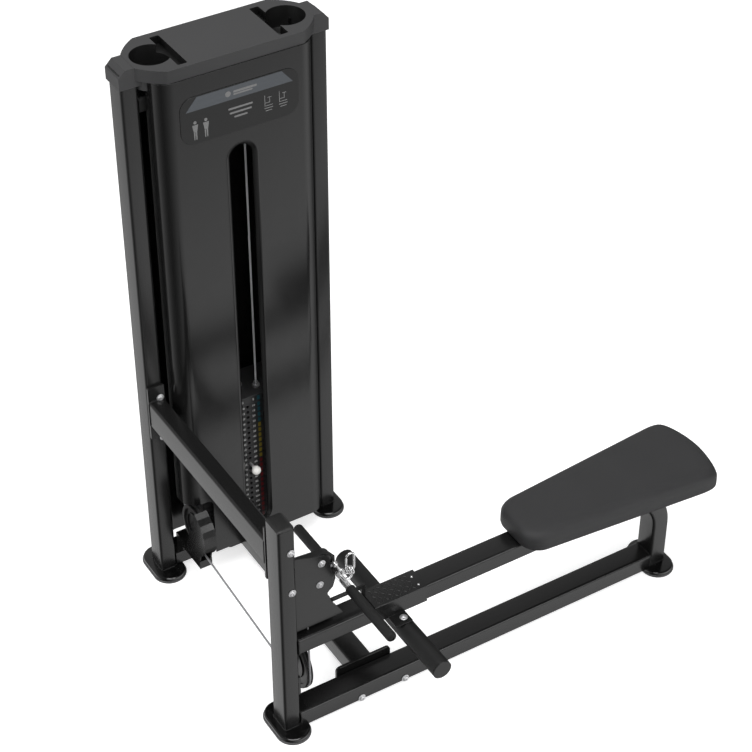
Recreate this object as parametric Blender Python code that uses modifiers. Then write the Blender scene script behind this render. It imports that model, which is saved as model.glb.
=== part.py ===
"""Seated cable row machine: weight tower, bench frame, cable, pulleys, handle, foot rest and seat.

Metres, +Z up. +X runs along the bench from the front post to the seat, +Y runs from the bench to
the weight tower. The origin is on the floor, in the middle of the machine's outline.
"""
import math

import bmesh
import bpy
from mathutils import Matrix, Vector

# Layout of the machine, measured from the front post's centre line
ORIGIN_X = -0.62475          # front post's centre line in the part's own frame
ORIGIN_Y = -0.27215
POST_TO_TOWER = 0.691        # front post to tower posts, along Y
TOWER_PITCH = 0.5106         # between the two tower posts, along X
POST_TO_LEG = 1.169          # front post to the rear leg's centre, along X
TOTAL_HEIGHT = 1.603
GAP = 0.0003                 # kept between pieces that touch

# Tubes
TUBE_THICK = 0.046
TUBE_WIDE = 0.066
TUBE_WALL = 0.003
TUBE_CORNER = 0.008
FRONT_POST_TOP = 0.697
TOWER_POST_TOP = 1.590
LINK_TALL = 0.080
LINK_MID_Z = 0.5835
FLANGE_HALF_TALL = 0.085
END_PLATE = 0.008            # thickness of the plates welded to a tube's ends
RAIL_TOP = 0.3165
RAIL_TALL = 0.051
BEND_INNER = 0.066
LOW_RAIL_TOP = 0.0560
LOW_RAIL_LOW = 0.0020
CROSS_LEFT = 0.219
CROSS_RIGHT = 0.284
CROSS_TOP = 0.0655
CROSS_LOW = 0.0096
CROSS_PLATE_LOW = 0.0090
CROSS_PLATE_TOP = 0.0775

# Feet
FOOT_HALF_WIDE = 0.047
FOOT_HALF_STRAIGHT = 0.032
FOOT_THICK = 0.016

# Tower
SHROUD_FRONT = 0.597         # front face, from the front post's centre line along Y
SHROUD_BACK = 0.783
SHROUD_LEFT = 0.040
SHROUD_TOP = 1.5695
SHROUD_BOTTOM = 0.069
REAR_SHROUD_BOTTOM = 0.030
SHROUD_WALL = 0.0035
SHROUD_CORNER = 0.045
REAR_CORNER = 0.040
WINDOW_WIDE = 0.063
WINDOW_LOW = 0.120
WINDOW_TOP = 1.345
BASE_MEMBER_TOP = 0.062
TOP_MEMBER_LOW = 1.475
TOP_MEMBER_TALL = 0.040
TOP_MEMBER_WIDE = 0.060
BUMPER_RADIUS = 0.024

# Top cap
CAP_BACK = 0.786
CAP_SIDE = 0.0145            # from a post's centre line in to the deck's side edge
CUP_OFFSET = 0.1815          # cup centres, each side of the tower's middle
CUP_RADIUS = 0.0500
CUP_OUTER = 0.0560
CUP_DEPTH = 0.058
CUP_FLOOR = 0.007
SLOT_OFFSET = 0.135          # phone slots, each side of the tower's middle
SLOT_WIDE = 0.025
SLOT_FRONT = 0.614
SLOT_BACK = 0.764
SLOT_DEPTH = 0.022
EAR_LOW = 1.552
EAR_OUT = 0.027              # outer face of an ear, from the post's centre line
EAR_IN = 0.045
EAR_HALF_DEEP = 0.036
EAR_SLOPE = 0.0185           # the ear's outer slope, across and down
PLACARD_HALF_WIDE = 0.1605
PLACARD_HALF_TALL = 0.0645
PLACARD_CORNER = 0.036
PLACARD_Z = 1.4545

# Weight stack
PLATE_WIDE = 0.300
PLATE_DEEP = 0.120
PLATE_PITCH = 0.018
PLATE_GROOVE = 0.0008
PLATES_LIFTED = 12
PLATES_RESTING = 11
HEAD_THICK = 0.024
STACK_LOW = 0.096
STACK_Y = 0.695
ROD_SPREAD = 0.100           # guide rods, each side of the tower's middle
ROD_Y = 0.700
ROD_RADIUS = 0.0095
ROD_CLEARANCE = 0.0015
STEM_RADIUS = 0.0095
PIN_RADIUS = 0.004

# Cable and pulleys
CABLE_RADIUS = 0.0028
WRAP_GAP = 0.0005            # between a groove's floor and the cable
ANCHOR_X = 0.300
CABLE_Y = 0.667              # plane of the two top pulleys
CABLE_LOW_X = 0.065          # plane of the two low pulleys
TOP_PULLEY_Z = 1.410
TOP_PULLEY_GROOVE = 0.042
TOWER_PULLEY_GROOVE = 0.064
TOWER_PULLEY_Z = 0.185
FRONT_PULLEY_GROOVE = 0.081
FRONT_PULLEY_Y = 0.072
FRONT_PULLEY_Z = 0.150
EXIT_GROOVE = 0.029
RETURN_GROOVE = 0.0165
EXIT_LOW = (0.098, 0.459)    # x and z of the lower exit pulley's axle
EXIT_HIGH = (0.104, 0.527)
PULLEY_WIDE = 0.018
RIM_DEPTH = 0.0045
CHEEK_THICK = 0.004
CHEEK_INNER = 0.0105         # inner face of each exit cheek, from the bench's middle plane

# Handle
HANDLE_X = 0.1735
HANDLE_Z = 0.4205
BAR_RADIUS = 0.0095
GRIP_RADIUS = 0.0135
GRIP_INNER = 0.032
HANDLE_HALF = 0.2330
HOOK_X = 0.1935              # snap hook, upright in the bench's middle plane
HOOK_LOW = 0.4440
HOOK_TOP = 0.5085
HOOK_HALF = 0.0115
STOP_X = 0.149               # ball that stops the cable's end
EYE_X = 0.165                # drilled disc on the cable's end
EYE_Z = 0.4530

# Foot rest and seat
FOOT_REST_X = 0.316
FOOT_REST_Z = 0.2385
FOOT_REST_RADIUS = 0.0265
FOOT_REST_WALL = 0.0025
FOOT_REST_HALF = 0.236
FOOT_BOLT_Y = 0.057
SADDLE_START = 0.245
SADDLE_END = 0.400
SADDLE_SHEET = 0.003
SEAT_START = 0.6845
SEAT_END = 1.2965
SEAT_TOP = 0.378
SEAT_THICK = 0.054
SEAT_HALF_FRONT = 0.087
SEAT_HALF_REAR = 0.133
BOARD_THICK = 0.0068


def wipe():
    for obj in list(bpy.data.objects):
        bpy.data.objects.remove(obj, do_unlink=True)


wipe()
PARTS = bpy.data.collections.new("seated_cable_row")
CUTTERS = bpy.data.collections.new("cutters")
bpy.context.scene.collection.children.link(PARTS)
bpy.context.scene.collection.children.link(CUTTERS)


def material(name, colour, roughness, metallic=0.0):
    mat = bpy.data.materials.new(name)
    mat.use_nodes = True
    bsdf = mat.node_tree.nodes["Principled BSDF"]
    bsdf.inputs["Base Color"].default_value = (*colour, 1.0)
    bsdf.inputs["Roughness"].default_value = roughness
    bsdf.inputs["Metallic"].default_value = metallic
    return mat


FRAME_PAINT = material("black_frame_paint", (0.035, 0.035, 0.037), 0.35)
SHROUD_PLASTIC = material("glossy_black_shroud", (0.030, 0.030, 0.032), 0.18)
CAP_PLASTIC = material("satin_black_plastic", (0.045, 0.045, 0.048), 0.45)
FOOT_PAINT = material("gloss_black_foot", (0.025, 0.025, 0.026), 0.15)
PLATE_PAINT = material("dark_grey_weight_paint", (0.050, 0.050, 0.052), 0.55)
CHROME = material("chrome", (0.75, 0.75, 0.76), 0.12, 1.0)
STEEL = material("zinc_plated_steel", (0.60, 0.60, 0.60), 0.35, 1.0)
RUBBER = material("black_rubber", (0.022, 0.022, 0.023), 0.75)
PULLEY_NYLON = material("black_nylon", (0.020, 0.020, 0.022), 0.50)
CABLE_JACKET = material("cable_jacket", (0.30, 0.30, 0.31), 0.40)
SEAT_VINYL = material("black_vinyl", (0.040, 0.040, 0.042), 0.55)
BOARD_PAINT = material("black_seat_board", (0.020, 0.020, 0.020), 0.60)
KNOB_PLASTIC = material("pale_knob_plastic", (0.80, 0.80, 0.78), 0.35)


def place(x, y, z):
    """Layout position, measured from the front post's centre line, in the part's frame."""
    return Vector((ORIGIN_X + x, ORIGIN_Y + y, z))


def take(name, mat, collection=PARTS):
    """Name the active object, give it its finish and move it to its collection."""
    obj = bpy.context.object
    obj.name = name
    obj.data.name = name
    if mat:
        obj.data.materials.append(mat)
    for old in list(obj.users_collection):
        old.objects.unlink(obj)
    collection.objects.link(obj)
    if collection is CUTTERS:
        obj.hide_render = True
        obj.display_type = 'WIRE'
    return obj


def round_edges(obj, width, segments=2, angle=40):
    bevel = obj.modifiers.new("Bevel", 'BEVEL')
    bevel.width = width
    bevel.segments = segments
    bevel.limit_method = 'ANGLE'
    bevel.angle_limit = math.radians(angle)
    return obj


def block(name, low, high, mat, edge=0.0, collection=PARTS):
    """Box between two layout corners."""
    low, high = place(*low), place(*high)
    bpy.ops.mesh.primitive_cube_add(size=1, location=(low + high) / 2)
    obj = bpy.context.object
    obj.scale = high - low
    bpy.ops.object.transform_apply(location=False, rotation=False, scale=True)
    take(name, mat, collection)
    if edge:
        round_edges(obj, edge)
    return obj


def turn_towards(axis):
    return {'X': (0, math.pi / 2, 0), 'Y': (-math.pi / 2, 0, 0), 'Z': (0, 0, 0)}[axis]


def rod(name, centre, radius, length, axis, mat, sides=20, edge=0.0, collection=PARTS):
    """Cylinder about a layout centre, along one axis."""
    bpy.ops.mesh.primitive_cylinder_add(vertices=sides, radius=radius, depth=length,
                                        location=place(*centre), rotation=turn_towards(axis))
    obj = take(name, mat, collection)
    obj.data.shade_smooth()
    obj.data.set_sharp_from_angle(angle=math.radians(40))
    if edge:
        round_edges(obj, edge, 1)
    return obj


def boolean(obj, other, operation='DIFFERENCE'):
    mod = obj.modifiers.new(operation.title(), 'BOOLEAN')
    mod.operation = operation
    mod.object = other
    mod.solver = 'EXACT'
    return obj


def cut(obj, *cutters):
    for cutter in cutters:
        boolean(obj, cutter)
    return obj


def fuse(obj, *others):
    """Weld other solids on: each one becomes a guide, so only the welded object is built."""
    for other in others:
        for old in list(other.users_collection):
            old.objects.unlink(other)
        CUTTERS.objects.link(other)
        other.hide_render = True
        other.display_type = 'WIRE'
        boolean(obj, other, 'UNION')
    return obj


def settle(obj):
    """Replace an object's mesh by its finished mesh, so that it can be cut or copied."""
    bpy.context.view_layer.update()
    graph = bpy.context.evaluated_depsgraph_get()
    mesh = bpy.data.meshes.new_from_object(obj.evaluated_get(graph))
    flat = bpy.data.objects.new(obj.name + "_mesh", mesh)
    flat.matrix_world = obj.matrix_world
    bm = bmesh.new()
    bm.from_mesh(mesh)
    bmesh.ops.remove_doubles(bm, verts=bm.verts, dist=1e-6)
    bm.to_mesh(mesh)
    bm.free()
    for home in list(obj.users_collection):
        home.objects.link(flat)
    name = obj.name
    bpy.data.objects.remove(obj, do_unlink=True)
    flat.name = name
    return flat


def rounded_box_outline(half_u, half_v, radius, steps=3):
    """Corner points of a rounded rectangle, anticlockwise."""
    points = []
    for cu, cv, start in ((1, 1, 0), (-1, 1, 90), (-1, -1, 180), (1, -1, 270)):
        for i in range(steps + 1):
            a = math.radians(start + 90 * i / steps)
            points.append((cu * (half_u - radius) + radius * math.cos(a),
                           cv * (half_v - radius) + radius * math.sin(a)))
    return points


def arc(cu, cv, radius, start, end, steps):
    """Points along an arc, angles in degrees."""
    angles = [math.radians(start + (end - start) * i / steps) for i in range(steps + 1)]
    return [(cu + radius * math.cos(a), cv + radius * math.sin(a)) for a in angles]


def extruded(name, outlines, thick, centre, plane, mat, edge=0.0, collection=PARTS):
    """Flat outline, with any inner outlines as holes, given a thickness.

    plane is XY, XZ or YZ: the two axes that the outline is drawn in, about the layout centre.
    """
    curve = bpy.data.curves.new(name, 'CURVE')
    curve.dimensions = '2D'
    curve.fill_mode = 'BOTH'
    curve.extrude = thick / 2
    for outline in outlines:
        spline = curve.splines.new('POLY')
        spline.points.add(len(outline) - 1)
        for point, (u, v) in zip(spline.points, outline):
            point.co = (u, v, 0, 1)
        spline.use_cyclic_u = True
    obj = bpy.data.objects.new(name, curve)
    obj.location = place(*centre)
    obj.rotation_euler = {'XY': (0, 0, 0), 'XZ': (math.pi / 2, 0, 0),
                          'YZ': (math.pi / 2, 0, math.pi / 2)}[plane]
    collection.objects.link(obj)
    obj = settle(obj)
    obj.data.materials.append(mat)
    if collection is CUTTERS:
        obj.hide_render = True
        obj.display_type = 'WIRE'
    if edge:
        round_edges(obj, edge)
    return obj


def square_tube(name, low, high, axis, mat, wall=TUBE_WALL, corner=TUBE_CORNER):
    """Rectangular steel tube with round corners, open at both ends."""
    size = [h - l for l, h in zip(low, high)]
    mid = [(l + h) / 2 for l, h in zip(low, high)]
    plane = {'X': 'YZ', 'Y': 'XZ', 'Z': 'XY'}[axis]
    u, v = ["XYZ".index(letter) for letter in plane]
    outer = rounded_box_outline(size[u] / 2, size[v] / 2, corner)
    inner = rounded_box_outline(size[u] / 2 - wall, size[v] / 2 - wall, corner - wall)
    return extruded(name, [outer, inner], size["XYZ".index(axis)], mid, plane, mat)


def pulley(name, centre, groove, axis, mat, bore=0.0055, sides=24, plain=False):
    """Grooved cable pulley: a profile turned about its axle, with a thinner web unless plain."""
    rim = groove + RIM_DEPTH
    half = PULLEY_WIDE / 2
    hub_half = half + 0.001
    web = 0.0035
    hub = 0.013
    profile = [(bore, hub_half), (hub, hub_half), (hub, web), (groove - 0.009, web),
               (groove - 0.006, half), (rim, half), (rim, half - 0.0015),
               (groove, 0.0022), (groove, -0.0022), (rim, -half + 0.0015), (rim, -half),
               (groove - 0.006, -half), (groove - 0.009, -web), (hub, -web),
               (hub, -hub_half), (bore, -hub_half)]
    if plain:
        profile = [(bore, half), (rim, half), (groove, 0.0022), (groove, -0.0022), (rim, -half),
                   (bore, -half)]
    mesh = bpy.data.meshes.new(name)
    count = len(profile)
    mesh.from_pydata([(r, 0, z) for r, z in profile], [(i, (i + 1) % count) for i in range(count)], [])
    obj = bpy.data.objects.new(name, mesh)
    obj.location = place(*centre)
    obj.rotation_euler = turn_towards(axis)
    mesh.materials.append(mat)
    PARTS.objects.link(obj)
    screw = obj.modifiers.new("Screw", 'SCREW')
    screw.steps = sides
    screw.render_steps = sides
    screw.use_merge_vertices = True
    screw.merge_threshold = 1e-5
    screw.use_normal_calculate = False
    return obj


def ring(name, centre, major, minor, axis, mat, sides=20, around=8):
    bpy.ops.mesh.primitive_torus_add(major_segments=sides, minor_segments=around,
                                     major_radius=major, minor_radius=minor,
                                     location=place(*centre), rotation=turn_towards(axis))
    return take(name, mat)


def wire(name, points, radius, mat, resolution=2):
    """Round wire or cable along layout points."""
    curve = bpy.data.curves.new(name, 'CURVE')
    curve.dimensions = '3D'
    curve.bevel_depth = radius
    curve.bevel_resolution = resolution
    curve.use_fill_caps = True
    spline = curve.splines.new('POLY')
    spline.points.add(len(points) - 1)
    for point, position in zip(spline.points, points):
        point.co = (*place(*position), 1)
    obj = bpy.data.objects.new(name, curve)
    PARTS.objects.link(obj)
    obj = settle(obj)
    obj.data.materials.append(mat)
    return obj


# Feet

def make_feet():
    outline = (arc(0, FOOT_HALF_STRAIGHT, FOOT_HALF_WIDE, 0, 180, 11)
               + arc(0, -FOOT_HALF_STRAIGHT, FOOT_HALF_WIDE, 180, 360, 11))
    spots = {"foot_front": (0, 0), "foot_rear": (POST_TO_LEG, 0),
             "foot_tower_left": (0, POST_TO_TOWER),
             "foot_tower_right": (TOWER_PITCH, POST_TO_TOWER)}
    for name, (x, y) in spots.items():
        extruded(name, [outline], FOOT_THICK, (x, y, FOOT_THICK / 2), 'XY', FOOT_PAINT, 0.003)


# Frame

def make_posts():
    low = FOOT_THICK + GAP
    half_x, half_y = TUBE_THICK / 2, TUBE_WIDE / 2
    for name, x, y, top in (("front_post", 0, 0, FRONT_POST_TOP),
                            ("tower_post_left", 0, POST_TO_TOWER, TOWER_POST_TOP),
                            ("tower_post_right", TOWER_PITCH, POST_TO_TOWER, TOWER_POST_TOP)):
        square_tube(name, (x - half_x, y - half_y, low), (x + half_x, y + half_y, top), 'Z', FRAME_PAINT)
    inset = TUBE_WALL + 0.0005
    top = FRONT_POST_TOP + GAP
    head, stub = 0.004, 0.018
    cap = extruded("front_post_cap", [rounded_box_outline(half_x, half_y, TUBE_CORNER)], head,
                   (0, 0, top + head / 2), 'XY', CAP_PLASTIC, 0.001)
    stub_outline = rounded_box_outline(half_x - inset, half_y - inset, TUBE_CORNER - inset)
    fuse(cap, extruded("front_post_cap_stub", [stub_outline], stub, (0, 0, top + 0.001 - stub / 2), 'XY',
                       CAP_PLASTIC))


def make_link():
    """Tube from the front post to the tower's left post, with a welded flange at each end."""
    near = TUBE_WIDE / 2 + GAP
    far = POST_TO_TOWER - TUBE_WIDE / 2 - GAP
    half_x, half_z = TUBE_THICK / 2, LINK_TALL / 2
    near_y, far_y = near + END_PLATE / 2, far - END_PLATE / 2
    tube = square_tube("link_tube", (-half_x, near_y, LINK_MID_Z - half_z),
                       (half_x, far_y, LINK_MID_Z + half_z), 'Y', FRAME_PAINT)
    outline = rounded_box_outline(half_x + 0.0006, FLANGE_HALF_TALL, 0.004)
    inset = TUBE_WALL + 0.002
    hole = rounded_box_outline(half_x - inset, half_z - inset, 0.004)
    plates = [extruded("link_flange_" + name, [outline, hole], END_PLATE, (0, y, LINK_MID_Z), 'XZ',
                       FRAME_PAINT)
              for name, y in (("near", near_y), ("far", far_y))]
    fuse(tube, *plates)


def make_rails():
    """Upper rail that bends down into the rear leg, and the lower rail near the floor."""
    start = TUBE_THICK / 2 + GAP
    leg_in = POST_TO_LEG - RAIL_TALL / 2
    under = RAIL_TOP - RAIL_TALL
    bend_x = leg_in - BEND_INNER
    bend_z = under - BEND_INNER
    floor = FOOT_THICK + GAP
    outline = ([(start, RAIL_TOP), (start, under)]
               + arc(bend_x, bend_z, BEND_INNER, 90, 0, 8)
               + [(leg_in, floor), (bend_x + BEND_INNER + RAIL_TALL, floor)]
               + arc(bend_x, bend_z, BEND_INNER + RAIL_TALL, 0, 90, 10))
    rail = extruded("upper_rail", [outline], TUBE_WIDE, (0, 0, 0), 'XZ', FRAME_PAINT, 0.006)
    slot_half = 0.014
    cut(rail, block("cable_slot_cutter", (CABLE_LOW_X - slot_half, -0.026, under - 0.01),
                    (CABLE_LOW_X + slot_half, 0.014, RAIL_TOP + 0.01), None, 0, CUTTERS))
    half_y = TUBE_WIDE / 2
    low = square_tube("lower_rail", (start, -half_y, LOW_RAIL_LOW), (leg_in - GAP, half_y, LOW_RAIL_TOP),
                      'X', FRAME_PAINT, corner=0.007)
    reach = FOOT_HALF_WIDE + 0.0015
    for name, x in (("front", 0), ("rear", POST_TO_LEG)):
        cut(low, block("lower_rail_relief_" + name, (x - reach, -TUBE_WIDE, 0), (x + reach, TUBE_WIDE, floor),
                       None, 0, CUTTERS))


def make_cross_tube():
    """Floor tube from the lower rail to the tower, with a bolted plate at the rail."""
    near = TUBE_WIDE / 2 + GAP
    far = POST_TO_TOWER - TUBE_WIDE / 2 - GAP
    near_y, far_y = near + END_PLATE / 2, far - END_PLATE / 2
    tube = square_tube("cross_tube", (CROSS_LEFT, near_y, CROSS_LOW), (CROSS_RIGHT, far_y, CROSS_TOP), 'Y',
                       FRAME_PAINT, corner=0.006)
    middle_z = (CROSS_PLATE_LOW + CROSS_PLATE_TOP) / 2
    half_z = (CROSS_PLATE_TOP - CROSS_PLATE_LOW) / 2
    plates = []
    for name, left, right, y in (("near", 0.169, 0.333, near_y), ("far", 0.180, 0.320, far_y)):
        middle_x = (left + right) / 2
        vent = arc((CROSS_LEFT + CROSS_RIGHT) / 2 - middle_x, 0, 0.012, 0, 345, 15)
        outline = rounded_box_outline((right - left) / 2, half_z, 0.012)
        plates.append(extruded("cross_plate_" + name, [outline, vent], END_PLATE, (middle_x, y, middle_z),
                               'XZ', FRAME_PAINT))
    fuse(tube, *plates)


def make_tower_frame():
    inner = TUBE_THICK / 2 + GAP
    top_high = TOP_MEMBER_LOW + TOP_MEMBER_TALL
    for name, wide, low, high in (("base_cross_member", TUBE_WIDE, FOOT_THICK + GAP, BASE_MEMBER_TOP),
                                  ("top_cross_member", TOP_MEMBER_WIDE, TOP_MEMBER_LOW, top_high)):
        square_tube(name, (inner, POST_TO_TOWER - wide / 2, low),
                    (TOWER_PITCH - inner, POST_TO_TOWER + wide / 2, high), 'X', FRAME_PAINT, corner=0.006)
    middle = TOWER_PITCH / 2
    for side, name in ((-1, "left"), (1, "right")):
        x = middle + side * ROD_SPREAD
        length = TOP_MEMBER_LOW - BASE_MEMBER_TOP - 2 * GAP
        rod("guide_rod_" + name, (x, ROD_Y, (TOP_MEMBER_LOW + BASE_MEMBER_TOP) / 2), ROD_RADIUS, length,
            'Z', CHROME)
        low, high = BASE_MEMBER_TOP + GAP, STACK_LOW - GAP
        bumper = rod("stack_bumper_" + name, (x, ROD_Y, (low + high) / 2), BUMPER_RADIUS, high - low, 'Z',
                     RUBBER, 24, 0.003)
        cut(bumper, rod("bumper_bore_" + name, (x, ROD_Y, (low + high) / 2), ROD_RADIUS + 0.0006, 0.1, 'Z',
                        None, 20, 0, CUTTERS))


# Tower covers

def shroud_outline(left, right, front, back, corner, wall):
    """U-shaped wall open towards the back, as a closed strip of the wall's thickness."""
    outer = ([(left, back)] + arc(left + corner, front + corner, corner, 180, 270, 6)
             + arc(right - corner, front + corner, corner, 270, 360, 6) + [(right, back)])
    inner = ([(right - wall, back)]
             + arc(right - corner, front + corner, corner - wall, 360, 270, 6)
             + arc(left + corner, front + corner, corner - wall, 270, 180, 6)
             + [(left + wall, back)])
    return outer + inner


def cup_reliefs(label):
    """Room in a shroud's top corners for the cap's cup bowls and ears."""
    middle = TOWER_PITCH / 2
    room, room_below, room_under_ear = 0.001, 0.0045, 0.008
    high = TOTAL_HEIGHT + 0.01
    bowl_low = TOTAL_HEIGHT - CUP_DEPTH - CUP_FLOOR - room_below
    reach = EAR_HALF_DEEP + 0.0015
    reliefs = []
    for side in (-1, 1):
        reliefs.append(rod(f"{label}_cup_relief_{side + 1}",
                           (middle + side * CUP_OFFSET, POST_TO_TOWER, (bowl_low + high) / 2),
                           CUP_OUTER + room, high - bowl_low, 'Z', None, 28, 0, CUTTERS))
        post = middle + side * middle
        reliefs.append(block(f"{label}_ear_relief_{side + 1}",
                             (post - EAR_IN - room, POST_TO_TOWER - reach, EAR_LOW - room_under_ear),
                             (post + EAR_IN + room, POST_TO_TOWER + reach, high), None, 0, CUTTERS))
    return reliefs


def make_front_shroud():
    left, right = SHROUD_LEFT, TOWER_PITCH - SHROUD_LEFT
    back = POST_TO_TOWER - TOP_MEMBER_WIDE / 2 - GAP
    height = SHROUD_TOP - SHROUD_BOTTOM
    outline = shroud_outline(left, right, SHROUD_FRONT, back, SHROUD_CORNER, SHROUD_WALL)
    shroud = extruded("front_shroud", [outline], height, (0, 0, SHROUD_BOTTOM + height / 2), 'XY',
                      SHROUD_PLASTIC)
    middle = TOWER_PITCH / 2
    radius = WINDOW_WIDE / 2
    slot = (arc(0, WINDOW_TOP - radius, radius, 0, 180, 12)
            + arc(0, WINDOW_LOW + radius, radius, 180, 360, 12))
    window = extruded("window_cutter", [slot], 0.06, (middle, SHROUD_FRONT, 0), 'XZ', None, 0, CUTTERS)
    corner = block("shroud_notch_cutter", (0, 0.5, 0), (0.118, 0.7, 0.262), None, 0.02, CUTTERS)
    cut(shroud, window, corner, *cup_reliefs("front"))


def make_rear_shroud():
    left, right = SHROUD_LEFT, TOWER_PITCH - SHROUD_LEFT
    front = POST_TO_TOWER + TUBE_WIDE / 2 + GAP
    height = SHROUD_TOP - REAR_SHROUD_BOTTOM
    mirrored = shroud_outline(left, right, -SHROUD_BACK, -front, REAR_CORNER, SHROUD_WALL)
    outline = [(x, -y) for x, y in mirrored]
    rear = extruded("rear_shroud", [outline], height, (0, 0, REAR_SHROUD_BOTTOM + height / 2), 'XY',
                    SHROUD_PLASTIC)
    cut(rear, *cup_reliefs("rear"))


def make_top_cap():
    """Moulded cap with two cup holders, two phone slots and an ear over each post."""
    middle = TOWER_PITCH / 2
    low = SHROUD_TOP + GAP
    half_x = middle - CAP_SIDE
    front, back = SHROUD_FRONT - POST_TO_TOWER, CAP_BACK - POST_TO_TOWER
    corner = 0.175
    quarter = arc(half_x - 0.84 * corner, back - 0.88 * corner, corner, 29, 60, 6)
    quarter = [(min(x, half_x), y) for x, y in quarter]
    front_quarter = [(x, -y * front / -back) for x, y in reversed(quarter)]
    outline = (quarter + [(-x, y) for x, y in reversed(quarter)]
               + [(-x, y) for x, y in reversed(front_quarter)] + front_quarter)
    cap = extruded("top_cap", [outline], TOTAL_HEIGHT - low,
                   (middle, POST_TO_TOWER, (low + TOTAL_HEIGHT) / 2), 'XY', CAP_PLASTIC, 0.006)
    top = TOTAL_HEIGHT - 0.0004
    drop = EAR_LOW - top
    pocket_x, pocket_y = TUBE_THICK / 2 + 0.0005, TUBE_WIDE / 2 + 0.0005
    boss_tall = CUP_DEPTH + CUP_FLOOR - 0.002
    cutters = []
    for side, name in ((-1, "left"), (1, "right")):
        post = middle + side * middle
        ear = [(side * EAR_OUT, drop), (side * EAR_OUT, -EAR_SLOPE), (side * (EAR_OUT - EAR_SLOPE), 0),
               (-side * EAR_IN, 0), (-side * EAR_IN, drop)]
        fuse(cap, extruded("cap_ear_" + name, [ear], 2 * EAR_HALF_DEEP, (post, POST_TO_TOWER, top), 'XZ',
                           CAP_PLASTIC))
        cup_x = middle + side * CUP_OFFSET
        fuse(cap, rod("cup_boss_" + name, (cup_x, POST_TO_TOWER, TOTAL_HEIGHT - 0.002 - boss_tall / 2),
                      CUP_OUTER, boss_tall, 'Z', CAP_PLASTIC, 24))
        slot_left = middle + side * SLOT_OFFSET - SLOT_WIDE / 2
        cutters += [block("ear_pocket_" + name, (post - pocket_x, POST_TO_TOWER - pocket_y, EAR_LOW - 0.05),
                          (post + pocket_x, POST_TO_TOWER + pocket_y, TOWER_POST_TOP + 0.0005), None, 0,
                          CUTTERS),
                    rod("cup_cutter_" + name, (cup_x, POST_TO_TOWER, TOTAL_HEIGHT), CUP_RADIUS,
                        2 * CUP_DEPTH, 'Z', None, 24, 0, CUTTERS),
                    block("phone_slot_" + name, (slot_left, SLOT_FRONT, TOTAL_HEIGHT - SLOT_DEPTH),
                          (slot_left + SLOT_WIDE, SLOT_BACK, TOTAL_HEIGHT + 0.02), None, 0, CUTTERS)]
    cut(cap, *cutters)


def make_placard():
    middle = TOWER_PITCH / 2
    thick = 0.0012
    outline = rounded_box_outline(PLACARD_HALF_WIDE, PLACARD_HALF_TALL, PLACARD_CORNER, 5)
    extruded("placard", [outline], thick, (middle, SHROUD_FRONT - GAP - thick / 2, PLACARD_Z), 'XZ',
             SHROUD_PLASTIC)


# Weight stack

def stack_level(index):
    """Height of the underside of a plate, counted from the bottom of the stack."""
    return STACK_LOW + index * PLATE_PITCH


def plate_group(name, first, count):
    """Plates that stay together, as one solid with the grooves between them."""
    middle = TOWER_PITCH / 2
    half_x, half_y = PLATE_WIDE / 2, PLATE_DEEP / 2
    low = stack_level(first)
    high = stack_level(first + count) - GAP
    inset = 0.002
    core = block(name, (middle - half_x + inset, STACK_Y - half_y + inset, low + 0.0002),
                 (middle + half_x - inset, STACK_Y + half_y - inset, high - 0.0002), PLATE_PAINT)
    slabs = []
    for i in range(count):
        z0 = stack_level(first + i)
        z1 = z0 + PLATE_PITCH - PLATE_GROOVE
        if i == count - 1:
            z1 = high
        slabs.append(block(f"{name}_slab_{i + 1}", (middle - half_x, STACK_Y - half_y, z0),
                           (middle + half_x, STACK_Y + half_y, z1), PLATE_PAINT))
    fuse(core, *slabs)
    bores = [rod(f"{name}_stem_bore", (middle, STACK_Y, 0.3), STEM_RADIUS + 0.0015, 1.0, 'Z', None, 12,
                 0, CUTTERS)]
    for side in (-1, 1):
        bores.append(rod(f"{name}_rod_bore_{side + 1}", (middle + side * ROD_SPREAD, ROD_Y, 0.3),
                         ROD_RADIUS + ROD_CLEARANCE, 1.0, 'Z', None, 12, 0, CUTTERS))
    for i in range(count):
        z = stack_level(first + i) + PLATE_PITCH / 2
        bores.append(rod(f"{name}_pin_hole_{i + 1}", (middle, STACK_Y - half_y, z), PIN_RADIUS + 0.0010,
                         PLATE_DEEP - 0.012, 'Y', None, 6, 0, CUTTERS))
    cut(core, *bores)


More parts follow.
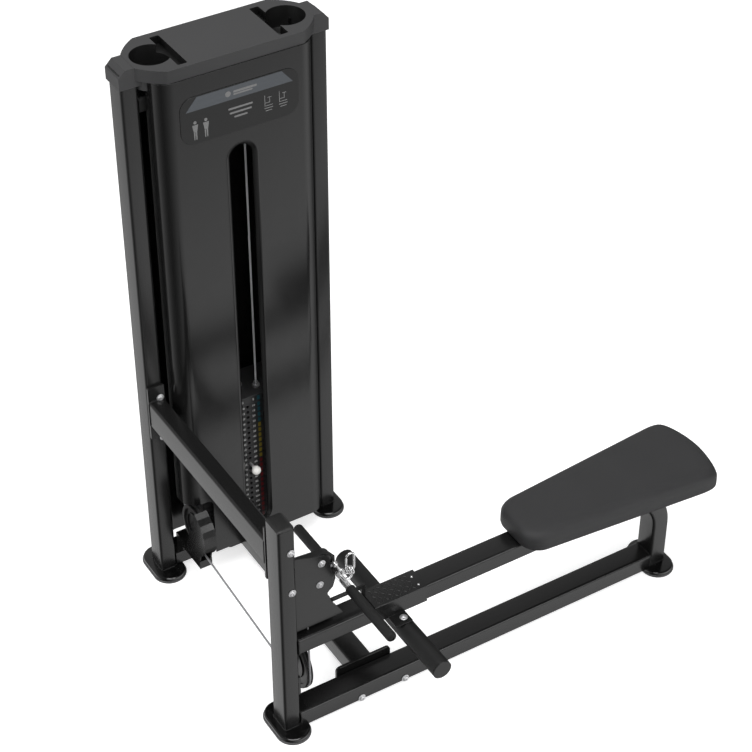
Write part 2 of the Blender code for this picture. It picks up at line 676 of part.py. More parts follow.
def make_stack():
    middle = TOWER_PITCH / 2
    half_x, half_y = PLATE_WIDE / 2, PLATE_DEEP / 2
    plate_group("resting_plates", 0, PLATES_RESTING)
    plate_group("lifted_plates", PLATES_RESTING, PLATES_LIFTED)
    low = stack_level(PLATES_RESTING + PLATES_LIFTED)
    high = low + HEAD_THICK
    head = block("head_plate", (middle - half_x, STACK_Y - half_y, low),
                 (middle + half_x, STACK_Y + half_y, high), PLATE_PAINT, 0.002)
    bores = [rod("head_stem_bore", (middle, STACK_Y, low), STEM_RADIUS + GAP, 0.1, 'Z', None, 16, 0,
                 CUTTERS),
             rod("head_anchor_bore", (ANCHOR_X, CABLE_Y, low), 0.0065 + GAP, 0.1, 'Z', None, 16, 0,
                 CUTTERS)]
    for side in (-1, 1):
        bores.append(rod(f"head_rod_bore_{side + 1}", (middle + side * ROD_SPREAD, ROD_Y, low),
                         ROD_RADIUS + 0.0008, 0.1, 'Z', None, 20, 0, CUTTERS))
    cut(head, *bores)
    stem_low, stem_high = STACK_LOW + 0.002, high + 0.010
    stem = rod("selector_stem", (middle, STACK_Y, (stem_low + stem_high) / 2), STEM_RADIUS,
               stem_high - stem_low, 'Z', STEEL, 12)
    collar = rod("stem_collar", (middle, STACK_Y, high + GAP + 0.005), 0.015, 0.010, 'Z', STEEL, 6)
    fuse(stem, collar)
    holes = [rod(f"stem_hole_{i + 1}", (middle, STACK_Y, stack_level(i) + PLATE_PITCH / 2),
                 PIN_RADIUS + 0.0010, 0.04, 'Y', None, 6, 0, CUTTERS)
             for i in range(PLATES_RESTING + PLATES_LIFTED)]
    cut(stem, *holes)
    anchor_low = low + 0.004
    anchor = rod("cable_anchor", (ANCHOR_X, CABLE_Y, anchor_low + 0.018), 0.0065, 0.036, 'Z', STEEL, 16)
    nut = rod("anchor_nut", (ANCHOR_X, CABLE_Y, high + GAP + 0.004), 0.0105, 0.008, 'Z', STEEL, 6)
    fuse(anchor, nut)
    pin_z = stack_level(PLATES_RESTING) + PLATE_PITCH / 2
    front = STACK_Y - half_y
    bpy.ops.mesh.primitive_uv_sphere_add(segments=16, ring_count=10, radius=0.0125,
                                         location=place(middle, front - 0.034, pin_z))
    knob = take("selector_pin", KNOB_PLASTIC)
    knob.data.shade_smooth()
    shaft = rod("pin_shaft", (middle, (front - 0.030 + STACK_Y + 0.006) / 2, pin_z), PIN_RADIUS,
                STACK_Y + 0.006 - front + 0.030, 'Y', STEEL, 12)
    fuse(knob, shaft)


# Pulleys and their brackets

def make_top_pulleys():
    radius = TOP_PULLEY_GROOVE + CABLE_RADIUS + WRAP_GAP
    centres = {"top_pulley_stack": ANCHOR_X - radius, "top_pulley_down": CABLE_LOW_X + radius}
    for name, x in centres.items():
        pulley(name, (x, CABLE_Y, TOP_PULLEY_Z), TOP_PULLEY_GROOVE, 'Y', PULLEY_NYLON, plain=True)
    x0, x1 = min(centres.values()) - 0.030, max(centres.values()) + 0.030
    z1 = TOP_MEMBER_LOW - GAP
    z0 = TOP_PULLEY_Z - 0.020
    inner, thick = 0.0125, 0.003
    yoke = block("top_pulley_yoke", (x0, CABLE_Y - inner - thick, z1 - 0.004),
                 (x1, CABLE_Y + inner + thick, z1), FRAME_PAINT)
    for side in (-1, 1):
        y0, y1 = CABLE_Y + side * inner, CABLE_Y + side * (inner + thick)
        fuse(yoke, block(f"top_yoke_cheek_{side + 1}", (x0, min(y0, y1), z0), (x1, max(y0, y1), z1 - 0.002),
                         FRAME_PAINT))
    for name, x in centres.items():
        fuse(yoke, rod(name + "_axle", (x, CABLE_Y, TOP_PULLEY_Z), 0.0050, 2 * inner + 0.012, 'Y', STEEL,
                       12))


def make_tower_pulley():
    """Low tower pulley in a bracket that stands on the base cross member's front."""
    radius = TOWER_PULLEY_GROOVE + CABLE_RADIUS + WRAP_GAP
    y = CABLE_Y - radius
    x, z = CABLE_LOW_X, TOWER_PULLEY_Z
    pulley("tower_low_pulley", (x, y, z), TOWER_PULLEY_GROOVE, 'X', PULLEY_NYLON)
    face = POST_TO_TOWER - TUBE_WIDE / 2 - GAP
    half_in, thick = 0.0145, 0.004
    foot_low, foot_high = BASE_MEMBER_TOP + GAP, 0.098
    foot = block("tower_pulley_bracket", (x - half_in - thick, y - 0.043, foot_low + 0.010),
                 (x + half_in + thick, y + 0.100, foot_high), FRAME_PAINT)
    fuse(foot, block("tower_bracket_heel", (x - half_in - thick, face + 0.002, foot_low),
                     (x + half_in + thick, y + 0.100, foot_high - 0.005), FRAME_PAINT))
    guard = 0.080
    for side in (-1, 1):
        x0, x1 = x + side * half_in, x + side * (half_in + thick)
        base = foot_high - z - 0.004
        wedge = [(0.040, base), (-0.040, base)] + arc(0, 0, guard, 235, 110, 9)
        fuse(foot, extruded(f"tower_cheek_{side + 1}", [wedge], thick, ((x0 + x1) / 2, y, z), 'YZ',
                            FRAME_PAINT))
    wall = arc(0, 0, guard, 110, 205, 7) + arc(0, 0, guard - 0.003, 205, 110, 7)
    fuse(foot, extruded("tower_guard_wall", [wall], 2 * half_in + thick, (x, y, z), 'YZ', FRAME_PAINT))
    fuse(foot, rod("tower_pulley_axle", (x, y, z), 0.0050, 2 * (half_in + thick) + 0.006, 'X', STEEL, 12))


def make_front_pulley():
    """Large low pulley beside the front post, on a bracket plate bolted to the post."""
    x = CABLE_LOW_X
    pulley("front_low_pulley", (x, FRONT_PULLEY_Y, FRONT_PULLEY_Z), FRONT_PULLEY_GROOVE, 'X',
           PULLEY_NYLON)
    face = TUBE_THICK / 2 + GAP
    thick = 0.006
    outline = [(-0.098, -0.030), (0.014, -0.018)] + arc(0, 0, 0.018, -50, 50, 6) + [(-0.098, 0.030)]
    plate = extruded("front_pulley_bracket", [outline], thick,
                     (face + thick / 2, FRONT_PULLEY_Y, FRONT_PULLEY_Z), 'YZ', FRAME_PAINT)
    spacer_end = x - PULLEY_WIDE / 2 - 0.0015
    spacer = rod("front_pulley_spacer", ((face + spacer_end) / 2, FRONT_PULLEY_Y, FRONT_PULLEY_Z), 0.011,
                 spacer_end - face, 'X', STEEL, 20)
    axle_end = x + PULLEY_WIDE / 2 + 0.010
    axle = rod("front_pulley_axle", ((face + axle_end) / 2, FRONT_PULLEY_Y, FRONT_PULLEY_Z), 0.0050,
               axle_end - face, 'X', STEEL, 12)
    head = rod("front_axle_head", (axle_end - 0.003, FRONT_PULLEY_Y, FRONT_PULLEY_Z), 0.0095, 0.006, 'X',
               STEEL, 6)
    fuse(plate, spacer, axle, head)


def near_cheek_outline():
    """Side plate on the user's side of the cable exit, in X and Z, with a waist at the cable."""
    left = TUBE_THICK / 2 + GAP
    cx, cz = EXIT_HIGH
    return ([(left, 0.3300), (0.1655, 0.3300), (0.1427, 0.3665), (0.1290, 0.3895)]
            + arc(0.1385, 0.4180, 0.0185, 225, 140, 6)
            + [(0.1290, 0.4480), (0.1350, 0.4640), (0.1330, 0.4780)]
            + arc(cx, cz, 0.0250, -15, 80, 7) + [(0.0800, 0.5570), (left, 0.5770)])


def far_cheek_outline():
    """Side plate on the tower's side, which reaches further out behind the cable."""
    left = TUBE_THICK / 2 + GAP
    return [(left, 0.3300), (0.1480, 0.3300), (0.1290, 0.3850), (0.1380, 0.3960), (0.1500, 0.4060),
            (0.1570, 0.4300), (0.1560, 0.5080), (0.1380, 0.5310), (0.1240, 0.5460), (left, 0.5560)]


def make_cable_exit():
    """Two small pulleys between two side plates, where the cable leaves towards the user."""
    for name, groove, (x, z) in (("exit_pulley_lower", EXIT_GROOVE, EXIT_LOW),
                                 ("exit_pulley_upper", RETURN_GROOVE, EXIT_HIGH)):
        pulley(name, (x, 0, z), groove, 'Y', PULLEY_NYLON, sides=16)
        reach = CHEEK_INNER + CHEEK_THICK + 0.007
        axle = rod(name + "_bolt", (x, 0, z), 0.0048, 2 * reach - 0.002, 'Y', STEEL, 12)
        fuse(axle, rod(name + "_head", (x, -reach + 0.003, z), 0.0100, 0.006, 'Y', STEEL, 16, 0.002))
        fuse(axle, rod(name + "_nut", (x, reach - 0.003, z), 0.0090, 0.006, 'Y', STEEL, 6))
    middle = CHEEK_INNER + CHEEK_THICK / 2
    near = extruded("exit_cheek_near", [near_cheek_outline()], CHEEK_THICK, (0, -middle, 0), 'XZ',
                    FRAME_PAINT)
    far = extruded("exit_cheek_far", [far_cheek_outline()], CHEEK_THICK, (0, middle, 0), 'XZ',
                   FRAME_PAINT)
    arm = block("exit_far_arm", (0.130, middle - CHEEK_THICK / 2, 0.354),
                (SADDLE_START - 0.001, middle + CHEEK_THICK / 2, 0.367), FRAME_PAINT)
    drop = block("exit_far_arm_foot", (SADDLE_START - 0.012, middle - CHEEK_THICK / 2, RAIL_TOP + GAP),
                 (SADDLE_START - 0.001, middle + CHEEK_THICK / 2, 0.360), FRAME_PAINT)
    fuse(far, arm, drop)
    for plate, label, y in ((near, "near", -middle), (far, "far", middle)):
        holes = [rod(f"cheek_hole_{label}_{i}", (x, y, z), 0.0048 + GAP, 0.02, 'Y', None, 12, 0, CUTTERS)
                 for i, (x, z) in enumerate((EXIT_LOW, EXIT_HIGH))]
        cut(plate, *holes)
    thick = 0.003
    hood = ([(0.046, 0.5540)] + arc(0.110, 0.5275, 0.0265, 90, 5, 8)
            + arc(0.110, 0.5275, 0.0265 - thick, 5, 90, 8) + [(0.046, 0.5540 - thick)])
    extruded("exit_hood", [hood], 2 * (CHEEK_INNER - GAP), (0, 0, 0), 'XZ', CAP_PLASTIC)


# Cable

def make_cable():
    """Stack cable, the long run over the pulleys, and the stub that leaves towards the user."""
    top_r = TOP_PULLEY_GROOVE + CABLE_RADIUS + WRAP_GAP
    anchor_top = stack_level(PLATES_RESTING + PLATES_LIFTED) + 0.004 + 0.036 + GAP
    wire("stack_cable", [(ANCHOR_X, CABLE_Y, anchor_top), (ANCHOR_X, CABLE_Y, TOP_PULLEY_Z - 0.002)],
         CABLE_RADIUS, CABLE_JACKET)
    tower_r = TOWER_PULLEY_GROOVE + CABLE_RADIUS + WRAP_GAP
    tower_y = CABLE_Y - tower_r
    front_r = FRONT_PULLEY_GROOVE + CABLE_RADIUS + WRAP_GAP
    exit_r = EXIT_GROOVE + CABLE_RADIUS + WRAP_GAP
    points = [(ANCHOR_X, CABLE_Y, TOP_PULLEY_Z - 0.0015)]
    points += [(x, CABLE_Y, z) for x, z in arc(ANCHOR_X - top_r, TOP_PULLEY_Z, top_r, 0, 90, 6)]
    points += [(x, CABLE_Y, z) for x, z in arc(CABLE_LOW_X + top_r, TOP_PULLEY_Z, top_r, 90, 180, 6)]
    points += [(CABLE_LOW_X, y, z) for y, z in arc(tower_y, TOWER_PULLEY_Z, tower_r, 0, -84, 7)]
    points += [(CABLE_LOW_X, y, z)
               for y, z in arc(FRONT_PULLEY_Y, FRONT_PULLEY_Z, front_r, 277, 180, 9)]
    low_x, low_z = EXIT_LOW
    points += [(x, 0, z) for x, z in arc(low_x, low_z, exit_r, 180, 90, 6)]
    out_x, out_z = low_x + 0.012, low_z + exit_r
    points += [(out_x, 0, out_z)]
    wire("main_cable", points, CABLE_RADIUS, CABLE_JACKET)
    wire("cable_stub", [(out_x + GAP, 0, out_z), (STOP_X - 0.0092, 0, out_z)], CABLE_RADIUS, CABLE_JACKET)


# Handle

def make_fitting():
    """Stop on the cable's end, its drilled disc and ring, and the snap hook."""
    z = EXIT_LOW[1] + EXIT_GROOVE + CABLE_RADIUS + WRAP_GAP
    bpy.ops.mesh.primitive_uv_sphere_add(segments=12, ring_count=8, radius=0.0085,
                                         location=place(STOP_X, 0, z))
    ball = take("cable_stop", CHROME)
    disc = rod("cable_disc", (EYE_X, 0, EYE_Z), 0.0130, 0.0055, 'Y', CHROME, 20)
    shank = wire("cable_shank", [(STOP_X, 0, z), (EYE_X - 0.004, 0, EYE_Z + 0.008)], 0.0035, CHROME)
    ring_x = HOOK_X - 0.0040
    loop = ring("cable_ring", (ring_x, 0, 0.4515), 0.0105, 0.0023, 'X', CHROME, 14, 6)
    link = wire("cable_ring_link", [(EYE_X + 0.006, 0, EYE_Z - 0.006), (ring_x, 0, 0.4405)], 0.0024, CHROME)
    fuse(ball, shank, disc, loop, link)
    cut(ball, rod("disc_bore", (EYE_X, 0, EYE_Z), 0.0042, 0.02, 'Y', None, 12, 0, CUTTERS))
    half, r = HOOK_HALF, 0.0030
    top_c, low_c = HOOK_TOP - r - half, HOOK_LOW + r + half
    path = arc(HOOK_X, low_c, half, 155, 360, 10) + arc(HOOK_X, top_c, half, 0, 155, 8)
    wire("snap_hook", [(x, 0, z) for x, z in path], r, CHROME)
    gate_low, gate_high = low_c + 0.0084, top_c + 0.0012
    rod("snap_hook_gate", (HOOK_X - half, 0, (gate_low + gate_high) / 2), 0.0026, gate_high - gate_low, 'Z',
        CHROME, 10)


def make_handle():
    x, z = HANDLE_X, HANDLE_Z
    bar_half = HANDLE_HALF - 0.004
    bar = rod("handle_bar", (x, 0, z), BAR_RADIUS, 2 * bar_half, 'Y', CHROME, 20)
    ring_z = HOOK_LOW + 0.0030 + 0.0005
    eye_x = HOOK_X + 0.0040
    eye = ring("handle_eye", (eye_x, 0, ring_z), 0.0100, 0.0025, 'X', CHROME, 16, 6)
    neck_low, neck_high = z + 0.0015, ring_z - 0.0090
    neck = rod("handle_eye_neck", (eye_x, 0, (neck_low + neck_high) / 2), 0.0038, neck_high - neck_low, 'Z',
               CHROME, 12)
    arm = rod("handle_eye_arm", ((x + eye_x) / 2, 0, z + 0.0030), 0.0042, eye_x - x + 0.004, 'X', CHROME, 12)
    fuse(bar, arm, neck, eye)
    for side, name in ((-1, "near"), (1, "far")):
        y0, y1 = side * GRIP_INNER, side * HANDLE_HALF
        grip = rod("grip_" + name, (x, (y0 + y1) / 2, z), GRIP_RADIUS, abs(y1 - y0), 'Y', RUBBER, 24, 0.005)
        tip = side * (bar_half + GAP)
        start = side * (GRIP_INNER - 0.01)
        bore = rod("grip_bore_" + name, (x, (start + tip) / 2, z), BAR_RADIUS + GAP, abs(tip - start), 'Y',
                   None, 20, 0, CUTTERS)
        cut(grip, bore)


# Foot rest

def make_foot_rest():
    """Hat-shaped saddle over the rail, and the foot tube bolted under its two flanges."""
    half = TUBE_WIDE / 2 + GAP
    sheet = SADDLE_SHEET
    top = RAIL_TOP + GAP
    flange_z = FOOT_REST_Z + FOOT_REST_RADIUS + GAP
    lip = 0.0006
    saddle = block("foot_rest_saddle", (SADDLE_START - lip, -half - sheet - lip, top),
                   (SADDLE_END, half + sheet + lip, top + sheet), FRAME_PAINT)
    for side in (-1, 1):
        y0, y1 = side * half, side * (half + sheet)
        fuse(saddle, block(f"saddle_side_{side + 1}", (SADDLE_START, min(y0, y1), flange_z + 0.0012),
                           (SADDLE_END - lip, max(y0, y1), top + sheet / 2), FRAME_PAINT))
        y2 = side * (half + 0.045)
        fuse(saddle, block(f"saddle_flange_{side + 1}",
                           (FOOT_REST_X - 0.034, min(y0 + side * 0.001, y2), flange_z),
                           (FOOT_REST_X + 0.016, max(y0 + side * 0.001, y2), flange_z + sheet), FRAME_PAINT))
    outer, inner = FOOT_REST_RADIUS, FOOT_REST_RADIUS - FOOT_REST_WALL
    tube = extruded("foot_rest_tube", [arc(0, 0, outer, 0, 346.15, 25), arc(0, 0, inner, 0, 346.15, 25)],
                    2 * FOOT_REST_HALF, (FOOT_REST_X, 0, FOOT_REST_Z), 'XZ', FRAME_PAINT)
    holes_saddle, holes_tube = [], []
    for side, name in ((-1, "near"), (1, "far")):
        y = side * FOOT_BOLT_Y
        head_z = flange_z + sheet + GAP
        bolt_low = FOOT_REST_Z - FOOT_REST_RADIUS - 0.010
        bolt_high = head_z + 0.003
        bolt = rod("foot_rest_bolt_" + name, (FOOT_REST_X, y, (bolt_high + bolt_low) / 2), 0.0040,
                   bolt_high - bolt_low, 'Z', STEEL, 12)
        fuse(bolt, rod("bolt_head_" + name, (FOOT_REST_X, y, head_z + 0.004), 0.0100, 0.008, 'Z', STEEL, 24,
                       0.002))
        nut_top = FOOT_REST_Z - FOOT_REST_RADIUS - GAP
        fuse(bolt, rod("bolt_nut_" + name, (FOOT_REST_X, y, nut_top - 0.004), 0.0080, 0.007, 'Z', STEEL, 6))
        holes_saddle.append(rod("flange_hole_" + name, (FOOT_REST_X, y, flange_z), 0.0046, 0.02, 'Z', None,
                                12, 0, CUTTERS))
        holes_tube.append(rod("tube_hole_" + name, (FOOT_REST_X, y, FOOT_REST_Z), 0.0046, 0.08, 'Z', None,
                              12, 0, CUTTERS))
        end = side * (FOOT_REST_HALF + GAP)
        cap = rod("foot_rest_cap_" + name, (FOOT_REST_X, end + side * 0.0015, FOOT_REST_Z), outer, 0.003,
                  'Y', CAP_PLASTIC, 26)
        plug = rod("foot_rest_plug_" + name, (FOOT_REST_X, end - side * 0.006, FOOT_REST_Z), inner - 0.0009,
                   0.014, 'Y', CAP_PLASTIC, 20)
        fuse(cap, plug)
    cut(saddle, *holes_saddle)
    cut(tube, *holes_tube)


# Seat

def seat_half_width(x, inset):
    """Half width of the seat at a distance from the front post, less an inset all round."""
    share = (x - SEAT_START) / (SEAT_END - SEAT_START)
    half = SEAT_HALF_FRONT + (SEAT_HALF_REAR - SEAT_HALF_FRONT) * min(1.0, share / 0.88)
    front_r, rear_r = 0.050, 0.060
    front, back = SEAT_START + inset, SEAT_END - inset
    pull = 0.0
    if x < front + front_r:
        pull = max(pull, front_r - math.sqrt(max(0.0, front_r ** 2 - (front + front_r - x) ** 2)))
    if x > back - rear_r:
        reach = (x - (back - rear_r)) / rear_r
        pull = max(pull, 0.36 * half * (1 - math.sqrt(max(0.0, 1 - reach ** 2))))
    return half - inset - pull


def make_seat():
    """Firm tapered pad with a low crown and drawn-in sides, on a thin board."""
    stations = 11
    rows = [(0.002, SEAT_TOP - SEAT_THICK), (0.0, SEAT_TOP - SEAT_THICK + 0.006),
            (0.0, SEAT_TOP - 0.014), (0.007, SEAT_TOP - 0.003)]

    def station_x(i, inset):
        t = 0.5 - 0.5 * math.cos(math.pi * i / (stations - 1))
        return SEAT_START + inset + (SEAT_END - SEAT_START - 2 * inset) * t

    def loop(inset, z):
        """Closed ring of points round the seat at one inset."""
        near, far = [], []
        for i in range(stations):
            x = station_x(i, inset)
            half = max(seat_half_width(x, inset), 0.034)
            near.append((x, -half, z))
            far.append((x, half, z))
        front = (near[0][0], 0.0, z)
        rear = (near[-1][0], 0.0, z)
        return near + [rear] + list(reversed(far)) + [front]

    bm = bmesh.new()
    rings = []
    for inset, z in rows:
        rings.append([bm.verts.new(place(*p)) for p in loop(inset, z)])
    count = len(rings[0])
    for lower, upper in zip(rings, rings[1:]):
        for i in range(count):
            j = (i + 1) % count
            bm.faces.new((lower[i], lower[j], upper[j], upper[i]))
    crown = rings[-1]
    middle = []
    for i in range(stations):
        near_v, far_v = crown[i], crown[count - 2 - i]
        mid = (near_v.co + far_v.co) / 2
        mid.z += 0.003
        middle.append(bm.verts.new(mid) if 0 < i < stations - 1 else None)
    middle[0], middle[-1] = crown[count - 1], crown[stations]
    for i in range(stations - 1):
        near_a, near_b = crown[i], crown[i + 1]
        far_a, far_b = crown[count - 2 - i], crown[count - 3 - i]
        bm.faces.new((near_a, near_b, middle[i + 1], middle[i]))
        bm.faces.new((middle[i], middle[i + 1], far_b, far_a))
    base = rings[0]
    under = []
    for i in range(stations):
        mid = (base[i].co + base[count - 2 - i].co) / 2
        under.append(bm.verts.new(mid) if 0 < i < stations - 1 else None)
    under[0], under[-1] = base[count - 1], base[stations]
    for i in range(stations - 1):
        bm.faces.new((base[i + 1], base[i], under[i], under[i + 1]))
        bm.faces.new((base[count - 2 - i], base[count - 3 - i], under[i + 1], under[i]))
    bmesh.ops.recalc_face_normals(bm, faces=bm.faces)
    mesh = bpy.data.meshes.new("seat_pad")
    bm.to_mesh(mesh)
    bm.free()
    pad = bpy.data.objects.new("seat_pad", mesh)
    mesh.materials.append(SEAT_VINYL)
    mesh.shade_smooth()
    PARTS.objects.link(pad)
    sub = pad.modifiers.new("Subdivision", 'SUBSURF')
    sub.levels = 1
    sub.render_levels = 1
    inset = 0.022
    xs = [station_x(i, inset) for i in range(stations)]
    edge = [(x, -max(seat_half_width(x, inset), 0.025)) for x in xs]
    outline = edge + [(x, -y) for x, y in reversed(edge)]
    high = SEAT_TOP - SEAT_THICK - GAP
    extruded("seat_board", [outline], BOARD_THICK, (0, 0, high - BOARD_THICK / 2), 'XY', BOARD_PAINT)


make_feet()
make_posts()
make_link()
make_rails()
make_cross_tube()
make_tower_frame()
make_front_shroud()
make_rear_shroud()
make_top_cap()
make_placard()
make_stack()
make_top_pulleys()
make_tower_pulley()
make_front_pulley()
make_cable_exit()
make_cable()
make_fitting()
make_handle()
make_foot_rest()
make_seat()
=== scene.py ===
"""Seated cable row machine: every piece with its real finish, in the order it is put together."""
from math import cos, pi, radians, sin, sqrt

import bmesh
import bpy
from mathutils import Matrix, Vector


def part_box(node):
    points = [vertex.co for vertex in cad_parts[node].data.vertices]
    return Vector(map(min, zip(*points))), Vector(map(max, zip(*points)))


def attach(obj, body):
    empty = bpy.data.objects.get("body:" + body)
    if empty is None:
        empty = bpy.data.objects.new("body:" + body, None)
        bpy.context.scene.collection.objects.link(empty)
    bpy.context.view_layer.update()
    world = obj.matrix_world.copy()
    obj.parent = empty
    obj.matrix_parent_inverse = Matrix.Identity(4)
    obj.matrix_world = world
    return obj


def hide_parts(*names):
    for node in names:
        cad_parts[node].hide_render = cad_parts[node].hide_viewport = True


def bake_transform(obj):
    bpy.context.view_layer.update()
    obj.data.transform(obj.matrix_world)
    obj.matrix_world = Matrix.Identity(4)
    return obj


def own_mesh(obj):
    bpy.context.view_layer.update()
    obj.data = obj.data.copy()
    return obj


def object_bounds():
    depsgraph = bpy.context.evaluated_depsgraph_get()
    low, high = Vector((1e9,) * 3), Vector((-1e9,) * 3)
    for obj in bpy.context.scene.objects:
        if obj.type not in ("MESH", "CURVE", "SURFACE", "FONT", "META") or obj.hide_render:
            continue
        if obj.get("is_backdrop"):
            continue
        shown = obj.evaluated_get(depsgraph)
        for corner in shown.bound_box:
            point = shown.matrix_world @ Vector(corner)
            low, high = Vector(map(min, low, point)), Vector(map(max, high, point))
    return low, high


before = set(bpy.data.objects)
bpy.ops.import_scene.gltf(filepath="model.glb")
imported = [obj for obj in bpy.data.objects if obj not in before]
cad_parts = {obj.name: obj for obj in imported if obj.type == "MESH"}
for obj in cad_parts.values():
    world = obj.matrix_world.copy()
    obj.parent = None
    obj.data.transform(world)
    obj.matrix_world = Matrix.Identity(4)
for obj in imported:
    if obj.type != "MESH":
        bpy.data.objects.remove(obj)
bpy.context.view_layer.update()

# Camera
# The catalogue view: a long lens, high on the user's side of the front post, looking down
# along the bench and the tower.
POST_X, POST_Y = -0.62475, -0.27215


def at(x, y, z):
    """A place measured from the front post's centre line."""
    return Vector((POST_X + x, POST_Y + y, z))


def corners(node):
    """A CAD node's lowest and highest corners."""
    return [Vector(corner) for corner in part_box(node)]


def put(name, data):
    """A new object in the scene."""
    made = bpy.data.objects.new(name, data)
    bpy.context.scene.collection.objects.link(made)
    return made


CAMERA_DOWN, CAMERA_LEFT = 38.45, 31.6
lens = bpy.data.cameras.new("catalogue_camera")
lens.lens = 100.0
lens.sensor_width = 36.0
lens.clip_end = 60.0
camera = put("catalogue_camera", lens)
camera.location = at(-1.721, -3.234, 4.047)
camera.rotation_euler = (radians(90 - CAMERA_DOWN), 0, radians(-CAMERA_LEFT))
bpy.context.scene.camera = camera
bpy.context.scene.view_settings.view_transform = "Standard"


# Studio
# A pale floor and surround under soft boxes. They show white by themselves, so the lamps
# stay at a plain level and the floor keeps a faint shadow. In reflections the room is
# bright along one line across the floor and dark on the user's side.
class Wire:
    """A node's socket. Sums and products of wires add Math nodes."""

    def __init__(self, socket):
        self.socket = socket

    def math(self, operation, first, second=0.0):
        node = self.socket.id_data.nodes.new("ShaderNodeMath")
        node.operation = operation
        for slot, value in zip(node.inputs, (first, second)):
            if isinstance(value, Wire):
                self.socket.id_data.links.new(value.socket, slot)
            else:
                slot.default_value = value
        return Wire(node.outputs[0])

    def __add__(self, other):
        return self.math("ADD", self, other)

    def __radd__(self, other):
        return self.math("ADD", other, self)

    def __sub__(self, other):
        return self.math("SUBTRACT", self, other)

    def __rsub__(self, other):
        return self.math("SUBTRACT", other, self)

    def __mul__(self, other):
        return self.math("MULTIPLY", self, other)


class Graph:
    """A node tree that is written one node at a time."""

    family = "ShaderNode"

    def __init__(self, tree):
        self.tree = tree

    def node(self, kind, sockets=(), settings=(), out=0):
        made = self.tree.nodes.new(kind if "Node" in kind else self.family + kind)
        for key, value in dict(settings).items():
            setattr(made, key, value)
        for key, value in dict(sockets).items():
            if isinstance(value, Wire):
                self.tree.links.new(value.socket, made.inputs[key])
            else:
                made.inputs[key].default_value = value
        return Wire(made.outputs[out]) if len(made.outputs) else made

    def dot(self, vector, direction):
        return self.node("VectorMath", {0: vector, 1: direction}, {"operation": "DOT_PRODUCT"}, 1)


FLOOR_HALF = 14.0
AMBIENT = 0.55
MIRRORED_FLOOR = 2.1
MIRRORED_SURROUND = 0.55
MIRRORED_DARK = 0.08
LINE_ACROSS = (0.524, -0.852, 0.0)
floor_mesh = bpy.data.meshes.new("studio_floor")
floor_mesh.from_pydata([(x * FLOOR_HALF, y * FLOOR_HALF, -0.0003)
                        for x, y in ((-1, -1), (1, -1), (1, 1), (-1, 1))], [], [(0, 1, 2, 3)])
floor = put("studio_floor", floor_mesh)
floor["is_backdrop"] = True


def seen_rays(graph):
    """Shares of rays that come straight from the lens, and from reflections or through glass."""
    path = graph.tree.nodes.new("ShaderNodeLightPath")
    glossy, passed = Wire(path.outputs["Is Glossy Ray"]), Wire(path.outputs["Is Transmission Ray"])
    return Wire(path.outputs["Is Camera Ray"]), glossy + passed


floor_material = bpy.data.materials.new("studio_floor_paint")
floor_material.use_nodes = True
floor_paint = Graph(floor_material.node_tree)
floor_paint.tree.nodes.clear()
seen, mirrored = seen_rays(floor_paint)
bare = floor_paint.node("BsdfDiffuse", {"Color": (0.72, 0.72, 0.72, 1)})
glow = floor_paint.node("Emission", {"Strength": seen * 0.66})
both = floor_paint.node("AddShader", {0: bare, 1: glow})
where = floor_paint.tree.nodes.new("ShaderNodeNewGeometry")
across = floor_paint.dot(Wire(where.outputs["Incoming"]), LINE_ACROSS)
depth = floor_paint.dot(Wire(where.outputs["Position"]), (0.0, 0.25, 0.0))
fall = depth.math("MAXIMUM", depth.math("MINIMUM", 1 + depth, 0.81 - depth * 0.56), 0.3)
shine = floor_paint.node("Emission", {
    "Strength": (across * across * MIRRORED_FLOOR + MIRRORED_DARK) * fall})
shown = floor_paint.node("MixShader", {0: mirrored, 1: both, 2: shine})
floor_paint.node("OutputMaterial", {"Surface": shown})
floor_mesh.materials.append(floor_material)

world = bpy.data.worlds.new("studio_surround")
bpy.context.scene.world = world
world.use_nodes = True
surround = Graph(world.node_tree)
surround.tree.nodes.clear()
seen, mirrored = seen_rays(surround)
ahead = surround.dot(surround.node("TexCoord"), (0.0, MIRRORED_SURROUND, 0.0))
lit = mirrored * (MIRRORED_DARK + ahead.math("MAXIMUM", ahead, 0.0)) + (1 - mirrored) * AMBIENT
back = surround.node("Background", {"Color": (1, 1, 1, 1), "Strength": seen + (1 - seen) * lit})
surround.node("OutputWorld", {"Surface": back})

for name, spot, aim, size, watts in (
        ("soft_box_overhead", (-0.6, -0.6, 4.6), (-0.2, 0.0, 0.4), 2.6, 90),
        ("soft_box_left", (-4.2, -0.4, 2.6), (-0.4, 0.1, 0.7), 2.2, 70),
        ("soft_box_user_side", (1.4, -4.2, 2.4), (0.0, 0.0, 0.5), 2.4, 60)):
    lamp = bpy.data.lights.new(name, "AREA")
    lamp.size = size
    lamp.energy = watts
    stand = put(name, lamp)
    stand.location = spot
    stand.rotation_euler = (Vector(aim) - Vector(spot)).to_track_quat("-Z", "Y").to_euler()


